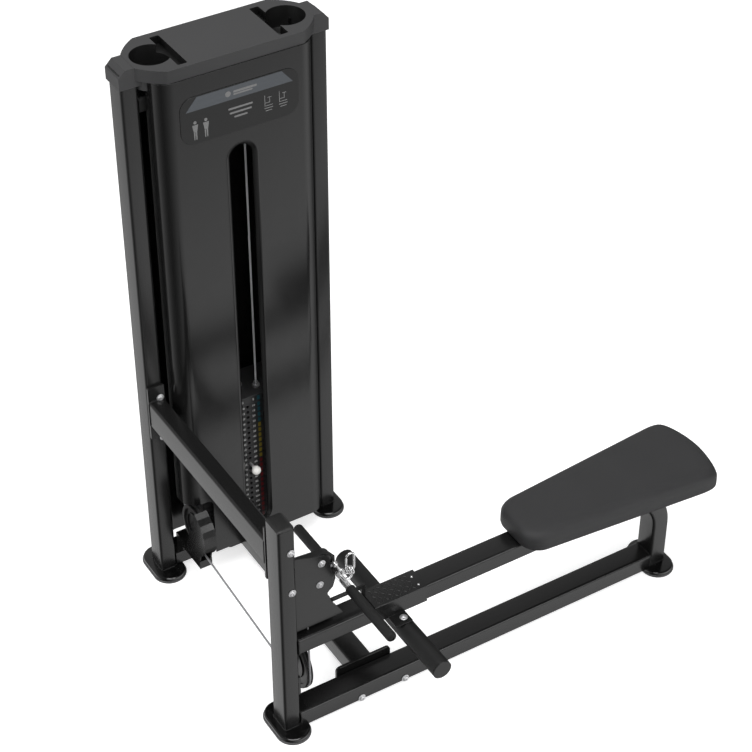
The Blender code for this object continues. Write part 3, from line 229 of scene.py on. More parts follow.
# Feet
# Four round-ended foot plates of gloss black steel, welded under the posts and the rear
# leg. Each sits in a rubber sole, whose rounded rim shows round the steel; the rim is
# painted a lighter grey than the steel, as a painted highlight along that round.
class Finish(Graph):
    """A surface finish, built from what varies over it."""

    def __init__(self, name, **values):
        self.material = bpy.data.materials.new(name)
        self.material.use_nodes = True
        super().__init__(self.material.node_tree)
        self.shader = self.tree.nodes["Principled BSDF"]
        self.place = self.node("TexCoord", out="Object")
        self.surface(**values)

    def noise(self, scale, detail=2.0, stretch=None):
        place = self.place
        if stretch:
            place = self.node("Mapping", {"Vector": place, "Scale": stretch})
        return self.node("TexNoise", {"Vector": place, "Scale": scale, "Detail": detail})

    def share(self, value, low, high):
        """0 where the value is below low, 1 where it is above high."""
        return self.node("MapRange", {"Value": value, "From Min": low, "From Max": high}, {"clamp": True})

    def tone(self, share, first, second, **values):
        """Mixes two colours by a share, where one number is a grey, and sets other values."""
        first, second = (tint if isinstance(tint, tuple) else (tint,) * 3 for tint in (first, second))
        self.surface(Base_Color=self.node("Mix", {0: share, 6: (*first, 1), 7: (*second, 1)},
                                          {"data_type": "RGBA"}, 2), **values)

    def relief(self, height, strength, depth):
        self.surface(Normal=self.node("Bump", {"Height": height, "Strength": strength, "Distance": depth}))

    def surface(self, **values):
        for key, value in values.items():
            slot = self.shader.inputs[key.replace("_", " ")]
            if isinstance(value, Wire):
                self.tree.links.new(value.socket, slot)
            else:
                slot.default_value = value


def mottled(name, first, second, scale, detail=2.0, spread=0.0, Roughness=0.5, **values):
    """A finish whose colour wanders between two tones, and its roughness with it."""
    finish = Finish(name, **values)
    field = finish.noise(scale, detail)
    finish.tone(field, first, second, Roughness=Roughness + field * spread if spread else Roughness)
    return finish


foot_enamel = Finish("foot_enamel")
scuffs = foot_enamel.share(foot_enamel.noise(38, 6), 0.52, 0.74)
foot_enamel.tone(scuffs, 0.003, 0.008, Roughness=0.16 + scuffs * 0.16, Coat_Weight=0.4)
foot_enamel.relief(foot_enamel.noise(420, 2), 0.05, 0.0004)

# Lighter grey than the foot enamel: a painted highlight on the rounded rim of each sole.
rim_rubber = mottled("rim_rubber", (0.055, 0.055, 0.056), (0.085, 0.085, 0.087), 60, 4, 0.2, Roughness=0.42)
rim_rubber.relief(rim_rubber.noise(900, 3), 0.15, 0.0003)


def turn(centre_u, centre_v, radius, start, end, steps):
    """Points along an arc, with angles in degrees."""
    return [(centre_u + radius * cos(radians(start + (end - start) * i / steps)),
             centre_v + radius * sin(radians(start + (end - start) * i / steps)))
            for i in range(steps + 1)]


def oblong(half_wide, straight, inset):
    """A round-ended outline, longer along its second direction."""
    radius = half_wide - inset
    return turn(0, straight, radius, 0, 180, 28) + turn(0, -straight, radius, 180, 360, 28)


def keep(piece, slot, *nodes, body="frame"):
    """Puts a finished piece on its body, in place of the CAD nodes that it stands for."""
    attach(piece, body)
    if nodes:
        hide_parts(*nodes)
    return piece


def smooth(piece, crease):
    """Shades a piece smooth, with a sharp edge where faces meet at more than the crease."""
    piece.data.shade_smooth()
    piece.data.set_sharp_from_angle(angle=radians(crease))
    return piece


def finished_mesh(piece):
    """The mesh that an object has after its modifiers."""
    return bpy.data.meshes.new_from_object(piece.evaluated_get(bpy.context.evaluated_depsgraph_get()))


def solid(name, form, *finishes, crease=32):
    """A closed form as an object with smooth round faces and sharp edges."""
    bmesh.ops.remove_doubles(form, verts=form.verts, dist=1e-6)
    bmesh.ops.recalc_face_normals(form, faces=form.faces)
    mesh = bpy.data.meshes.new(name)
    form.to_mesh(mesh)
    form.free()
    for finish in finishes:
        mesh.materials.append(finish.material)
    return smooth(put(name, mesh), crease)


def skin(rings, looped=False, form=None):
    """A closed skin through rings of points, with a cap at each end unless it is looped."""
    form = form or bmesh.new()
    rows = [[form.verts.new(point) for point in ring] for ring in rings]
    pairs = list(zip(rows, rows[1:])) + ([(rows[-1], rows[0])] if looped else [])
    for low, high in pairs:
        for i in range(len(low)):
            j = (i + 1) % len(low)
            form.faces.new((low[i], low[j], high[j], high[i]))
    if not looped:
        form.faces.new(rows[0])
        form.faces.new(rows[-1])
    return form


SOLE_HIGHLIGHT_TOP = 0.0068
for foot in ("foot_front", "foot_rear", "foot_tower_left", "foot_tower_right"):
    low, high = corners(foot)
    middle = (low + high) / 2
    half_wide = (high.x - low.x) / 2
    straight = (high.y - low.y) / 2 - half_wide
    levels = [(0.0022, low.z), (0.0006, low.z + 0.0008), (0.0, low.z + 0.0024), (0.0, low.z + 0.0052),
              (0.001, low.z + 0.0066), (0.0026, low.z + 0.007), (0.0026, low.z + 0.0116),
              (0.0034, low.z + 0.014), (0.0056, low.z + 0.0156), (0.008, high.z)]
    form = skin([[Vector((middle.x + u, middle.y + v, z)) for u, v in oblong(half_wide, straight, inset)]
                 for inset, z in levels])
    # Faces below this height take the sole finish, whose lighter grey is a painted rim highlight.
    for face in form.faces:
        face.material_index = 1 if face.calc_center_median().z < low.z + SOLE_HIGHLIGHT_TOP else 0
    keep(solid(foot + "_plate", form, foot_enamel, rim_rubber), "foot_paint", foot)

# Posts
# Three upright tubes of 46 by 66 mm with rounded corners, powder coated satin black. Each
# is welded to its foot, and the short front post is closed by a plastic plug.
powder_coat = Finish("black_powder_coat")
cloud = powder_coat.noise(5, 3)
peel = powder_coat.noise(760, 2)
powder_coat.tone(cloud, 0.007, 0.01, Roughness=0.17 + cloud * 0.08 + peel * 0.05)
powder_coat.relief(peel + powder_coat.noise(260, 2) * 0.6, 0.1, 0.0003)
TUBE_CORNER = 0.008
HALF_THICK, HALF_WIDE = 0.023, 0.033
weld_paths = []


def rounded_box(half_u, half_v, radius, steps=7):
    """A rectangle with round corners, as points round its outline."""
    u, v = half_u - radius, half_v - radius
    return (turn(u, v, radius, 0, 90, steps) + turn(-u, v, radius, 90, 180, steps)
            + turn(-u, -v, radius, 180, 270, steps) + turn(u, -v, radius, 270, 360, steps))


def ring_across(centre, half, inset, radius, along):
    """A rounded rectangle about a point, in the plane across one axis."""
    first, second = [axis for axis in range(3) if axis != along]
    ring = []
    for u, v in rounded_box(half[first] - inset, half[second] - inset, radius):
        point = Vector(centre)
        point[first] += u
        point[second] += v
        ring.append(point)
    return ring


def straight_tube(low, high, along, radius=TUBE_CORNER, form=None):
    """A tube between two corners, with its length along one axis and softened ends."""
    low, high = Vector(low), Vector(high)
    soft = 0.0006
    rings = []
    for place, inset in ((low[along], soft), (low[along] + soft, 0), (high[along] - soft, 0),
                         (high[along], soft)):
        centre = (low + high) / 2
        centre[along] = place
        rings.append(ring_across(centre, (high - low) / 2, inset, radius - inset, along))
    return skin(rings, form=form)


def weld(centre, half, along):
    """Notes the path of a bead of weld round a tube's end."""
    weld_paths.append(ring_across(centre, half, -0.0005, TUBE_CORNER, along))


for post in ("front_post", "tower_post_left", "tower_post_right"):
    low, high = corners(post)
    keep(solid(post + "_tube", straight_tube(low, high, 2), powder_coat), "frame_paint", post)
    middle = (low + high) / 2
    weld((middle.x, middle.y, low.z + 0.001), (high - low) / 2, 2)

cap_plastic = mottled("satin_black_moulding", (0.03, 0.03, 0.031), (0.038, 0.038, 0.039), 14, 4, 0.1,
                      Roughness=0.44)
cap_plastic.relief(cap_plastic.noise(1500, 2), 0.22, 0.00025)
plug_plastic = mottled("black_plug", 0.009, 0.014, 40, 3, Roughness=0.4)

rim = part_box("front_post")[1][2]
plug = skin([[at(u, v, z) for u, v in rounded_box(HALF_THICK - inset, HALF_WIDE - inset,
                                                  TUBE_CORNER - inset * 0.6)]
             for inset, z in ((0.004, rim - 0.016), (0.004, rim + 0.0003), (0.0002, rim + 0.0004),
                              (0.0, rim + 0.001), (0.0008, rim + 0.0022), (0.0026, rim + 0.0033),
                              (0.0056, rim + 0.004), (0.0076, rim + 0.0043))])
keep(solid("front_post_plug", plug, plug_plastic), "cap_plastic", "front_post_cap")

# Link tube
# An 80 mm tall tube from the front post to the tower's left post. A steel flange is welded
# to each end and bolted to the post behind it.
FLANGE_THICK = 0.008
WELD_LAP = 0.001


def flanged_tube(node, tube_low, tube_high, weld_half, plates, radius):
    """A tube towards the tower, with a plate at each end that reaches from left to right."""
    low, high = corners(node)
    inner = (low.y + FLANGE_THICK, high.y - FLANGE_THICK)
    tube_low.y, tube_high.y = inner[0] - WELD_LAP, inner[1] + WELD_LAP
    form = straight_tube(tube_low, tube_high, 1)
    for (left, right), y in zip(plates, (low.y, inner[1])):
        straight_tube((POST_X + left, y, low.z), (POST_X + right, y + FLANGE_THICK, high.z), 1, radius, form)
    keep(solid(node + "_welded", form, powder_coat), "frame_paint", node)
    for y in inner:
        weld(((tube_low.x + tube_high.x) / 2, y, (tube_low.z + tube_high.z) / 2), weld_half, 1)


low, high = corners("link_tube")
flanged_tube("link_tube", at(-HALF_THICK, 0, 0.5435), at(HALF_THICK, 0, 0.6235), (HALF_THICK, 0, 0.04),
             ((low.x - POST_X, high.x - POST_X),) * 2, 0.0042)

# Rails
# The upper rail is one 66 by 51 mm tube bent down into the rear leg. The lower rail runs
# level near the floor between the front post and that leg.
BEND_RADIUS = 0.135
RAIL_HALF_TALL = 0.0255
low, high = corners("upper_rail")
axis_z = high.z - RAIL_HALF_TALL
leg_x = high.x - RAIL_HALF_TALL
bend = turn(leg_x - BEND_RADIUS, axis_z - BEND_RADIUS, BEND_RADIUS, 90, 0, 18)
stations = [((low.x, axis_z), 90)] + list(zip(bend, range(90, -1, -5))) + [((leg_x, low.z), 0)]
rings = [[Vector((x + v * cos(radians(a)), POST_Y + u, z + v * sin(radians(a))))
          for u, v in rounded_box(HALF_WIDE, RAIL_HALF_TALL, TUBE_CORNER)] for (x, z), a in stations]
keep(solid("upper_rail_bent", skin(rings), powder_coat), "frame_paint", "upper_rail")
weld_paths.append([point + Vector((0.001, 0, 0)) for point in rings[0]])
weld_paths.append([point + Vector((0, 0, 0.001)) for point in rings[-1]])

low, high = corners("lower_rail")
keep(solid("lower_rail_tube", straight_tube(low, high, 0), powder_coat), "frame_paint", "lower_rail")
for x in (low.x + 0.001, high.x - 0.001):
    weld((x, POST_Y, (low.z + high.z) / 2), (0, HALF_WIDE, (high.z - low.z) / 2 - 0.0005), 0)

# Cross tube
# A floor tube that ties the bench to the tower. Its near plate is bolted to the lower rail,
# and its far plate to the tower's base member.
foot_z = corners("cross_tube")[0].z
flanged_tube("cross_tube", at(0.219, 0, foot_z + 0.0006), at(0.284, 0, 0.0655), (0.0325, 0, 0.0279),
             ((0.169, 0.333), (0.18, 0.32)), 0.012)


def refinish(finish, *nodes):
    """Gives a finish to CAD nodes that are shown as they are."""
    for node in nodes:
        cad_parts[node].data.materials.clear()
        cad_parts[node].data.materials.append(finish.material)


refinish(powder_coat, "base_cross_member", "tower_pulley_bracket", "front_pulley_bracket")
# The members inside the tower are painted darker than the powder coat: painted shade for the tower's shadowed
# inside.
refinish(mottled("inner_frame_black", 0.002, 0.005, 30, 3, Roughness=0.6), "top_cross_member",
         "top_pulley_yoke")


# Welds
# Each tube's end is closed by a bead of weld under the paint, laid as small overlapping
# ripples round the joint.
class Pattern(Graph):
    """A geometry node tree with named inputs, run on a base mesh and kept as a plain mesh."""

    family = "GeometryNode"

    def __init__(self, name, **inputs):
        super().__init__(bpy.data.node_groups.new(name, "GeometryNodeTree"))
        face = self.tree.interface
        face.new_socket("Geometry", in_out="INPUT", socket_type="NodeSocketGeometry")
        face.new_socket("Geometry", in_out="OUTPUT", socket_type="NodeSocketGeometry")
        for label, kind in inputs.items():
            face.new_socket(label, in_out="INPUT", socket_type="NodeSocket" + kind)
        self.entry = self.tree.nodes.new("NodeGroupInput")
        self.exit = self.tree.nodes.new("NodeGroupOutput")

    def given(self, label):
        return Wire(self.entry.outputs[label])

    def stand(self, points, part, aim):
        """Ends the tree with copies of a part that stand at points, each with its Z along the aim."""
        facing = self.node("FunctionNodeAlignRotationToVector", {"Vector": aim}, {"axis": "Z"})
        copies = self.node("InstanceOnPoints", {"Points": points, "Instance": part, "Rotation": facing})
        real = self.node("RealizeInstances", {0: copies})
        dressed = self.node("SetMaterial", {"Geometry": real, "Material": self.given("Finish")})
        self.tree.links.new(dressed.socket, self.exit.inputs[0])

    def run(self, name, points, edges=(), aims=None, crease=40, **values):
        """Runs the tree on points, which may be joined by edges, and keeps the mesh."""
        base = bpy.data.meshes.new(name + "_points")
        base.from_pydata([tuple(p) for p in points], list(edges), [])
        if aims:
            attribute = base.attributes.new("aim", "FLOAT_VECTOR", "POINT")
            for slot, aim in zip(attribute.data, aims):
                slot.vector = aim
        host = put(name + "_host", base)
        modifier = host.modifiers.new("pattern", "NODES")
        modifier.node_group = self.tree
        for item in self.tree.interface.items_tree:
            if item.in_out == "INPUT" and item.name in values:
                modifier[item.identifier] = values[item.name]
        mesh = finished_mesh(host)
        mesh.name = name
        bpy.data.objects.remove(host)
        return smooth(put(name, mesh), crease)


bead = Pattern("weld_bead", Ripple="Float", Bead="Float", Finish="Material")
path = bead.node("MeshToCurve", {"Mesh": bead.given("Geometry")})
even = bead.node("ResampleCurve", {"Curve": path, "Length": bead.given("Ripple")}, {"mode": "LENGTH"})
ripple = bead.node("MeshUVSphere", {"Segments": 8, "Rings": 5, "Radius": bead.given("Bead")})
bead.stand(even, ripple, bead.node("InputTangent"))
points, edges = [], []
for loop in weld_paths:
    first = len(points)
    points += loop
    edges += [(first + i, first + (i + 1) % len(loop)) for i in range(len(loop))]
keep(bead.run("weld_beads", points, edges, Ripple=0.0026, Bead=0.002, Finish=powder_coat.material),
     "frame_paint")

# Tower covers
# A glossy black moulded shroud bent round the front of the stack, with a long window for
# the selector pin, and a matching one behind. The window has a bevelled lip.
shroud_gloss = Finish("gloss_black_shroud")
wave = shroud_gloss.noise(2.2, 2, (1.0, 1.0, 0.35))
wipe = shroud_gloss.noise(26, 5)
shroud_gloss.tone(wave, 0.005, 0.008, Roughness=0.15 + wipe * 0.07)
shroud_gloss.relief(wave + wipe * 0.01, 0.08, 0.004)
SHROUD_LEFT, SHROUD_RIGHT = 0.04, 0.4706
SHROUD_WALL = 0.0035
WINDOW_X = 0.2553
WINDOW_LOW, WINDOW_HIGH = 0.108, 1.357
LIP_HALF = 0.0435


def bent_sheet(front, back, corner):
    """A sheet bent to a U in plan, open towards the back, as a closed outline."""
    faces = [[(SHROUD_LEFT + wall, back)]
             + turn(SHROUD_LEFT + corner, front + corner, corner - wall, 180, 270, 14)
             + turn(SHROUD_RIGHT - corner, front + corner, corner - wall, 270, 360, 14)
             + [(SHROUD_RIGHT - wall, back)] for wall in (0, SHROUD_WALL)]
    return faces[0] + faces[1][::-1]


def carve(piece, *others, operation="DIFFERENCE"):
    """Cuts other closed forms from a piece, or joins them to it, and removes them."""
    for other in others:
        tool = piece.modifiers.new("carve", "BOOLEAN")
        tool.operation = operation
        tool.material_mode = "TRANSFER"
        tool.object = other
        mesh = finished_mesh(piece)
        piece.modifiers.clear()
        piece.data = mesh
        bpy.data.objects.remove(other)
    return piece


def slot_loop(half, low, high, y):
    """A round-ended upright slot round the window's centre line, in a plane of constant y."""
    return [at(WINDOW_X + u, y, v) for u, v in turn(0, high - half, half, 0, 180, 24)
            + turn(0, low + half, half, 180, 360, 24)]


def poured(name, outline, low_z, high_z, finish):
    """An upright form with one outline in plan."""
    return solid(name, skin([[at(x, y, z) for x, y in outline] for z in (low_z, high_z)]), finish)


def slab(outline, low_y, high_y, form=None):
    """A flat form across the machine, with one outline in x and z."""
    return skin([[at(x, y, z) for x, z in outline] for y in (low_y, high_y)], form=form)


def soften_edges(piece, width, segments=2, angle=40):
    """A small round on every sharp edge."""
    bevel = piece.modifiers.new("edges", "BEVEL")
    bevel.width = width
    bevel.segments = segments
    bevel.limit_method = "ANGLE"
    bevel.angle_limit = radians(angle)
    return piece


low, high = corners("front_shroud")
front_y = low.y - POST_Y
front = poured("front_shroud_moulding", bent_sheet(front_y, high.y - POST_Y, 0.045), low.z, high.z,
               shroud_gloss)
window = solid("window_cut", skin([slot_loop(LIP_HALF, WINDOW_LOW, WINDOW_HIGH, y) for y in (0.55, 0.63)]),
               shroud_gloss)
notch = solid("notch_cut", straight_tube(at(-0.02, 0.5, -0.1), at(0.118, 0.72, 0.262), 1, 0.02),
              shroud_gloss)
carve(front, window, notch)
keep(soften_edges(smooth(front, 30), 0.0004, 2, 50), "shroud_plastic", "front_shroud")
lip = [(0.0002, 0.0006), (0.0004, -0.0003), (-0.001, -0.0007), (-0.0026, -0.0002), (-0.0095, 0.004),
       (-0.0114, 0.0056), (-0.012, 0.0078), (-0.0112, 0.0086), (-0.008, 0.0064), (-0.0006, 0.0034)]
lip = [slot_loop(LIP_HALF + grow, WINDOW_LOW - grow, WINDOW_HIGH + grow, front_y + y) for grow, y in lip]
keep(solid("window_lip", skin(lip, looped=True), shroud_gloss), "shroud_plastic")

low, high = corners("rear_shroud")
outline = [(x, -y) for x, y in bent_sheet(POST_Y - high.y, POST_Y - low.y, 0.04)]
keep(poured("rear_shroud_moulding", outline, low.z, high.z, shroud_gloss), "shroud_plastic", "rear_shroud")

# Cap
# A satin black moulding that closes the tower: a cup holder at each end, two slots for a
# phone or card, and an ear that sleeves each post. The cups and slots are painted near
# black inside, as painted shade in the recesses.
CAP_LOW, CAP_TOP = 1.5698, 1.603
CAP_HALF, CAP_HALF_DEEP = 0.2408, 0.095
CAP_FRONT_SHARE = 0.094 / CAP_HALF_DEEP
TOWER_Y = 0.691
CUP_SPREAD = 0.1815
CUP_RADIUS = 0.05


def turned(profile, centre, axis, steps=48, looped=False, form=None):
    """A turned form: rings of (radius, place along the axis) about a line through the centre."""
    along = Vector(axis).normalized()
    side = along.orthogonal().normalized()
    up = along.cross(side)
    rings = [[Vector(centre) + along * place + (side * cos(angle) + up * sin(angle)) * radius
              for angle in (2 * pi * i / steps for i in range(steps))] for radius, place in profile]
    return skin(rings, looped, form)


def lathe(name, profile, centre, axis, finish, steps=48, looped=False, crease=32):
    """A turned piece of one finish."""
    return solid(name, turned(profile, centre, axis, steps, looped), finish, crease=crease)


# Near black: the exit hood's own colour, and painted shade inside the cups and slots of the cap.
deep_black = mottled("deep_black", 0.003, 0.006, 60, Roughness=0.45)
quarter = [(min(x, CAP_HALF), y) for x, y in turn(CAP_HALF - 0.147, CAP_HALF_DEEP - 0.154, 0.175, 29, 60, 18)]
near_quarter = [(x, -y * CAP_FRONT_SHARE) for x, y in quarter[::-1]]
ring = quarter + [(-x, y) for x, y in (near_quarter + quarter)[::-1]] + near_quarter
cap = poured("top_cap_moulding", [(WINDOW_X + x, TOWER_Y + y) for x, y in ring], CAP_LOW, CAP_TOP,
             cap_plastic)
for side, post in ((-1, 0.0), (1, 2 * WINDOW_X)):
    profile = [(0.027, 1.552), (0.027, 1.5841), (0.0085, 1.6026), (-0.045, 1.6026), (-0.045, 1.552)]
    ear = solid("ear", slab([(post + side * x, z) for x, z in profile], TOWER_Y - 0.036, TOWER_Y + 0.036),
                cap_plastic)
    cup_middle = at(WINDOW_X + side * CUP_SPREAD, TOWER_Y, 0)
    boss = lathe("boss", [(0.056, 1.538), (0.056, 1.601)], cup_middle, (0, 0, 1), cap_plastic, 72)
    sleeve = poured("sleeve", [(post + u, TOWER_Y + v) for u, v in rounded_box(
        HALF_THICK + 0.0005, HALF_WIDE + 0.0005, TUBE_CORNER)], 1.5, 1.5905, cap_plastic)
    cup = lathe("cup", [(0.044, 1.545), (0.048, 1.5465), (CUP_RADIUS, 1.5505), (CUP_RADIUS, 1.62)],
                cup_middle, (0, 0, 1), deep_black, 72)
    slot = poured("slot", [(WINDOW_X + side * 0.135 + u, 0.689 + v)
                           for u, v in rounded_box(0.0125, 0.075, 0.004)], 1.581, 1.62, deep_black)
    carve(cap, ear, boss, operation="UNION")
    carve(cap, sleeve, cup, slot)
keep(soften_edges(smooth(cap, 32), 0.0009, 3, 38), "cap_plastic", "top_cap")

# Placard
# A thin printed plate on the shroud, satin black, with a grey heading band and plain
# generic marks where the exercise is explained.
placard_ink = mottled("placard_black", 0.004, 0.007, 900, Roughness=0.38)
band_grey = Finish("placard_grey", Roughness=0.35)
band_grey.tone(band_grey.noise(7, 2, (1, 1, 8)), (0.052, 0.058, 0.066), (0.076, 0.084, 0.094))
print_pale = mottled("pale_print", 0.13, 0.2, 500, Roughness=0.45)
PLACARD_Z = 1.4545
low, high = corners("placard")
sheet_y = low.y - POST_Y
plate = skin([[at(WINDOW_X + u, y, PLACARD_Z + v)
               for u, v in rounded_box(0.1605 - inset, 0.0645 - inset, 0.036 - inset, 12)]
              for inset, y in ((0.0, high.y - POST_Y), (0.0, sheet_y + 0.0004), (0.0004, sheet_y))])
keep(solid("placard_plate", plate, placard_ink), "placard_face", "placard")
band = slab([(0.1105, 1.481), (0.141, 1.5165), (0.37, 1.5165), (0.4, 1.481)],
            sheet_y - 0.0003, sheet_y + 0.0001)
keep(solid("placard_band", band, band_grey), "placard_face")
marks = bmesh.new()


def mark(outline):
    """A flat pale mark on the placard."""
    slab(outline, sheet_y - 0.0005, sheet_y + 0.0001, marks)


for x, z, half_x, half_z in ((0.224, 1.4985, 0.0075, 0.0075), (0.27, 1.501, 0.032, 0.003),
                             (0.264, 1.494, 0.026, 0.0022), (0.256, 1.456, 0.033, 0.0024),
                             (0.256, 1.444, 0.03, 0.0024), (0.256, 1.432, 0.018, 0.0024),
                             (0.332, 1.428, 0.012, 0.001), (0.372, 1.428, 0.012, 0.001),
                             (0.332, 1.421, 0.009, 0.001), (0.372, 1.421, 0.009, 0.001)):
    mark([(x + u, z + v) for u, v in rounded_box(half_x, half_z, min(half_x, half_z) * 0.98, 5)])
for x in (0.133, 0.162):
    turned([(0.0042, 0.0), (0.0042, 0.0006)], at(x, sheet_y - 0.0005, 1.449), (0, 1, 0), 20, form=marks)
    for points in ([(-0.008, 1.4425), (0.008, 1.4425), (0.0045, 1.423), (-0.0045, 1.423)],
                   [(-0.0045, 1.4225), (-0.0005, 1.4225), (-0.0015, 1.402), (-0.004, 1.402)],
                   [(0.0005, 1.4225), (0.0045, 1.4225), (0.004, 1.402), (0.0015, 1.402)]):
        mark([(x + u, z) for u, z in points])
for x in (0.332, 0.372):
    for low_u, high_u, low_z, high_z in ((-0.011, 0.011, 1.434, 1.4356), (-0.011, -0.0094, 1.4356, 1.464),
                                         (-0.0094, 0.004, 1.442, 1.4436), (0.0024, 0.004, 1.4436, 1.456),
                                         (-0.002, 0.0085, 1.456, 1.4576)):
        mark([(x + low_u, low_z), (x + high_u, low_z), (x + high_u, high_z), (x + low_u, high_z)])
keep(solid("placard_marks", marks, print_pale), "placard_face")

# Weight stack
# Twenty-three cast plates under a thicker head plate, painted dark grey, each drilled for
# the selector pin. Eleven rest on rubber bumpers and twelve hang from the stem.
stack_paint = Finish("stack_paint")
cast = stack_paint.noise(90, 5)
pits = stack_paint.noise(700, 3)
stack_paint.tone(cast, (0.02, 0.02, 0.021), (0.034, 0.034, 0.035), Roughness=0.42 + pits * 0.2)
stack_paint.relief(cast + pits * 0.5, 0.18, 0.0006)
PITCH = 0.018
STACK_LOW = 0.096
STACK_FRONT = 0.635
STACK_Y = 0.695
ROD_SPREAD = 0.1
ROD_Y = 0.7
RESTING, LIFTED = 11, 12


def stock_plate(name, thick, hole_z=None):
    """One rectangular plate about its own middle, bored for the stem and the guide rods."""
    rings = [[Vector((u, v, z)) for u, v in rounded_box(0.15 - inset, 0.06 - inset, 0.004, 3)]
             for inset, z in ((0.0009, 0.0), (0.0, 0.0009), (0.0, thick - 0.0009), (0.0009, thick))]
    blank = solid(name, skin(rings), stack_paint)
    bores = [((0, 0, -0.01), 0.0112, (0, 0, 1))]
    bores += [((side * ROD_SPREAD, ROD_Y - STACK_Y, -0.01), 0.0112, (0, 0, 1)) for side in (-1, 1)]
    if hole_z:
        bores.append(((0, -0.07, hole_z), 0.005, (0, 1, 0)))
    for centre, radius, axis in bores:
        carve(blank, lathe("bore", [(radius, 0.0), (radius, 0.06)], centre, axis, stack_paint, 20))
    return smooth(blank, 30)


copies = Pattern("copies_on_points", Part="Object", Finish="Material")
part = copies.node("ObjectInfo", {"Object": copies.given("Part")}, out="Geometry")
aim = copies.node("InputNamedAttribute", {"Name": "aim"}, {"data_type": "FLOAT_VECTOR"})
copies.stand(copies.given("Geometry"), part, aim)


def repeat(name, part, finish, places, aims=None):
    """One mesh of copies of a part, standing at places and turned along aims."""
    return copies.run(name, places, aims=aims or [(0, 0, 1)] * len(places), Part=part,
                      Finish=finish.material)


blank = stock_plate("blank_plate", PITCH - 0.0008, PITCH / 2)
levels = [at(WINDOW_X, STACK_Y, STACK_LOW + i * PITCH) for i in range(RESTING + LIFTED)]
keep(repeat("plates_resting", blank, stack_paint, levels[:RESTING]), "plate_paint", "resting_plates")
keep(repeat("plates_lifted", blank, stack_paint, levels[RESTING:]), "plate_paint", "lifted_plates",
     body="lifted_stack")
bpy.data.objects.remove(blank)
low, high = corners("head_plate")
head = stock_plate("head_plate_cast", high.z - low.z)
carve(head, lathe("bore", [(0.0068, 0.0), (0.0068, 0.06)], (0.0447, -0.028, -0.01), (0, 0, 1),
                  stack_paint, 20))
smooth(head, 30).data.transform(Matrix.Translation(at(WINDOW_X, STACK_Y, low.z)))
keep(head, "plate_paint", "head_plate", body="lifted_stack")

# Stack labels
# A strip of plain generic numbers on each plate, white on black, with a coloured tab beside
# it that groups the loads.
label_black = mottled("label_black", 0.008, 0.014, 400, Roughness=0.4)
digit_white = mottled("digit_white", 0.62, 0.75, 600, Roughness=0.5)
tabs = {}
for name, colour in (("red", (0.17, 0.012, 0.014)), ("yellow", (0.26, 0.2, 0.022)),
                     ("teal", (0.014, 0.1, 0.13))):
    faded = tuple(part * 0.72 for part in colour)
    tabs[name] = mottled("label_" + name, faded, colour, 300, 4, Roughness=0.42)


def numeral(text, centre, size, form):
    """A generic number as a thin raised mesh that faces the user."""
    curve = bpy.data.curves.new("numeral", "FONT")
    curve.body = text
    curve.size = size
    curve.align_x = "CENTER"
    curve.align_y = "CENTER"
    curve.extrude = 0.00012
    curve.resolution_u = 2
    host = put("numeral", curve)
    mesh = finished_mesh(host)
    mesh.transform(Matrix.Translation(centre) @ Matrix.Rotation(radians(90), 4, "X"))
    form.from_mesh(mesh)
    bpy.data.objects.remove(host)
    bpy.data.meshes.remove(mesh)


def label(form, x, z, half_x):
    """A small printed field on a plate's front edge."""
    slab([(x + u, z + v) for u, v in rounded_box(half_x, 0.0066, 0.0012, 3)],
         STACK_FRONT - 0.0004, STACK_FRONT + 0.0001, form)


for body, first, count in (("frame", 0, RESTING), ("lifted_stack", RESTING, LIFTED + 1)):
    strips = bmesh.new()
    digits = bmesh.new()
    colours = {name: bmesh.new() for name in tabs}
    for i in range(first, first + count):
        z = STACK_LOW + (i + 0.5) * PITCH - 0.0004 + (0.003 if i == RESTING + LIFTED else 0)
        load = 5 * (RESTING + LIFTED + 1 - i)
        for x, wide in ((0.2415, 0.0075), (0.273, 0.0085)):
            label(strips, x, z, wide)
            numeral(str(load), at(x, STACK_FRONT - 0.0005, z), 0.0092, digits)
        label(colours["teal" if i > 18 else "yellow" if i > 11 else "red"], 0.289, z, 0.004)
    keep(solid("load_strips_" + body, strips, label_black), "plate_paint", body=body)
    keep(solid("load_numbers_" + body, digits, digit_white), "plate_paint", body=body)
    for name, form in colours.items():
        if form.faces:
            keep(solid(f"load_tabs_{name}_{body}", form, tabs[name]), "plate_paint", body=body)

# Guide rods and stem
# Two chromed rods that the plates slide on, standing in rubber bumpers, and the drilled
# steel stem that the head plate hangs on the cable.
chrome = mottled("chrome", (0.84, 0.84, 0.85), 0.95, 34, 4, 0.1, Roughness=0.08, Metallic=0.85)
zinc = mottled("zinc_plated_steel", (0.66, 0.66, 0.67), (0.84, 0.84, 0.85), 160, 5, 0.2, Roughness=0.24,
               Metallic=0.8)
zinc.relief(zinc.noise(160, 5), 0.12, 0.0002)
grip_rubber = Finish("grip_rubber")
tooth = grip_rubber.noise(2300, 2)
grip_rubber.tone(grip_rubber.noise(60, 4), 0.003, 0.006, Roughness=0.6 + tooth * 0.16)
grip_rubber.relief(tooth, 0.35, 0.0003)
for side in ("left", "right"):
    low, high = corners("guide_rod_" + side)
    radius = (high.x - low.x) / 2
    long = high.z - low.z
    keep(lathe("guide_rod_" + side + "_ground", [(radius - 0.001, 0.0), (radius, 0.001),
                                                 (radius, long - 0.001), (radius - 0.001, long)],
               ((low.x + high.x) / 2, (low.y + high.y) / 2, low.z), (0, 0, 1), chrome, 32),
         "chrome", "guide_rod_" + side)
refinish(grip_rubber, "stack_bumper_left", "stack_bumper_right")
refinish(zinc, "selector_stem", "cable_anchor")

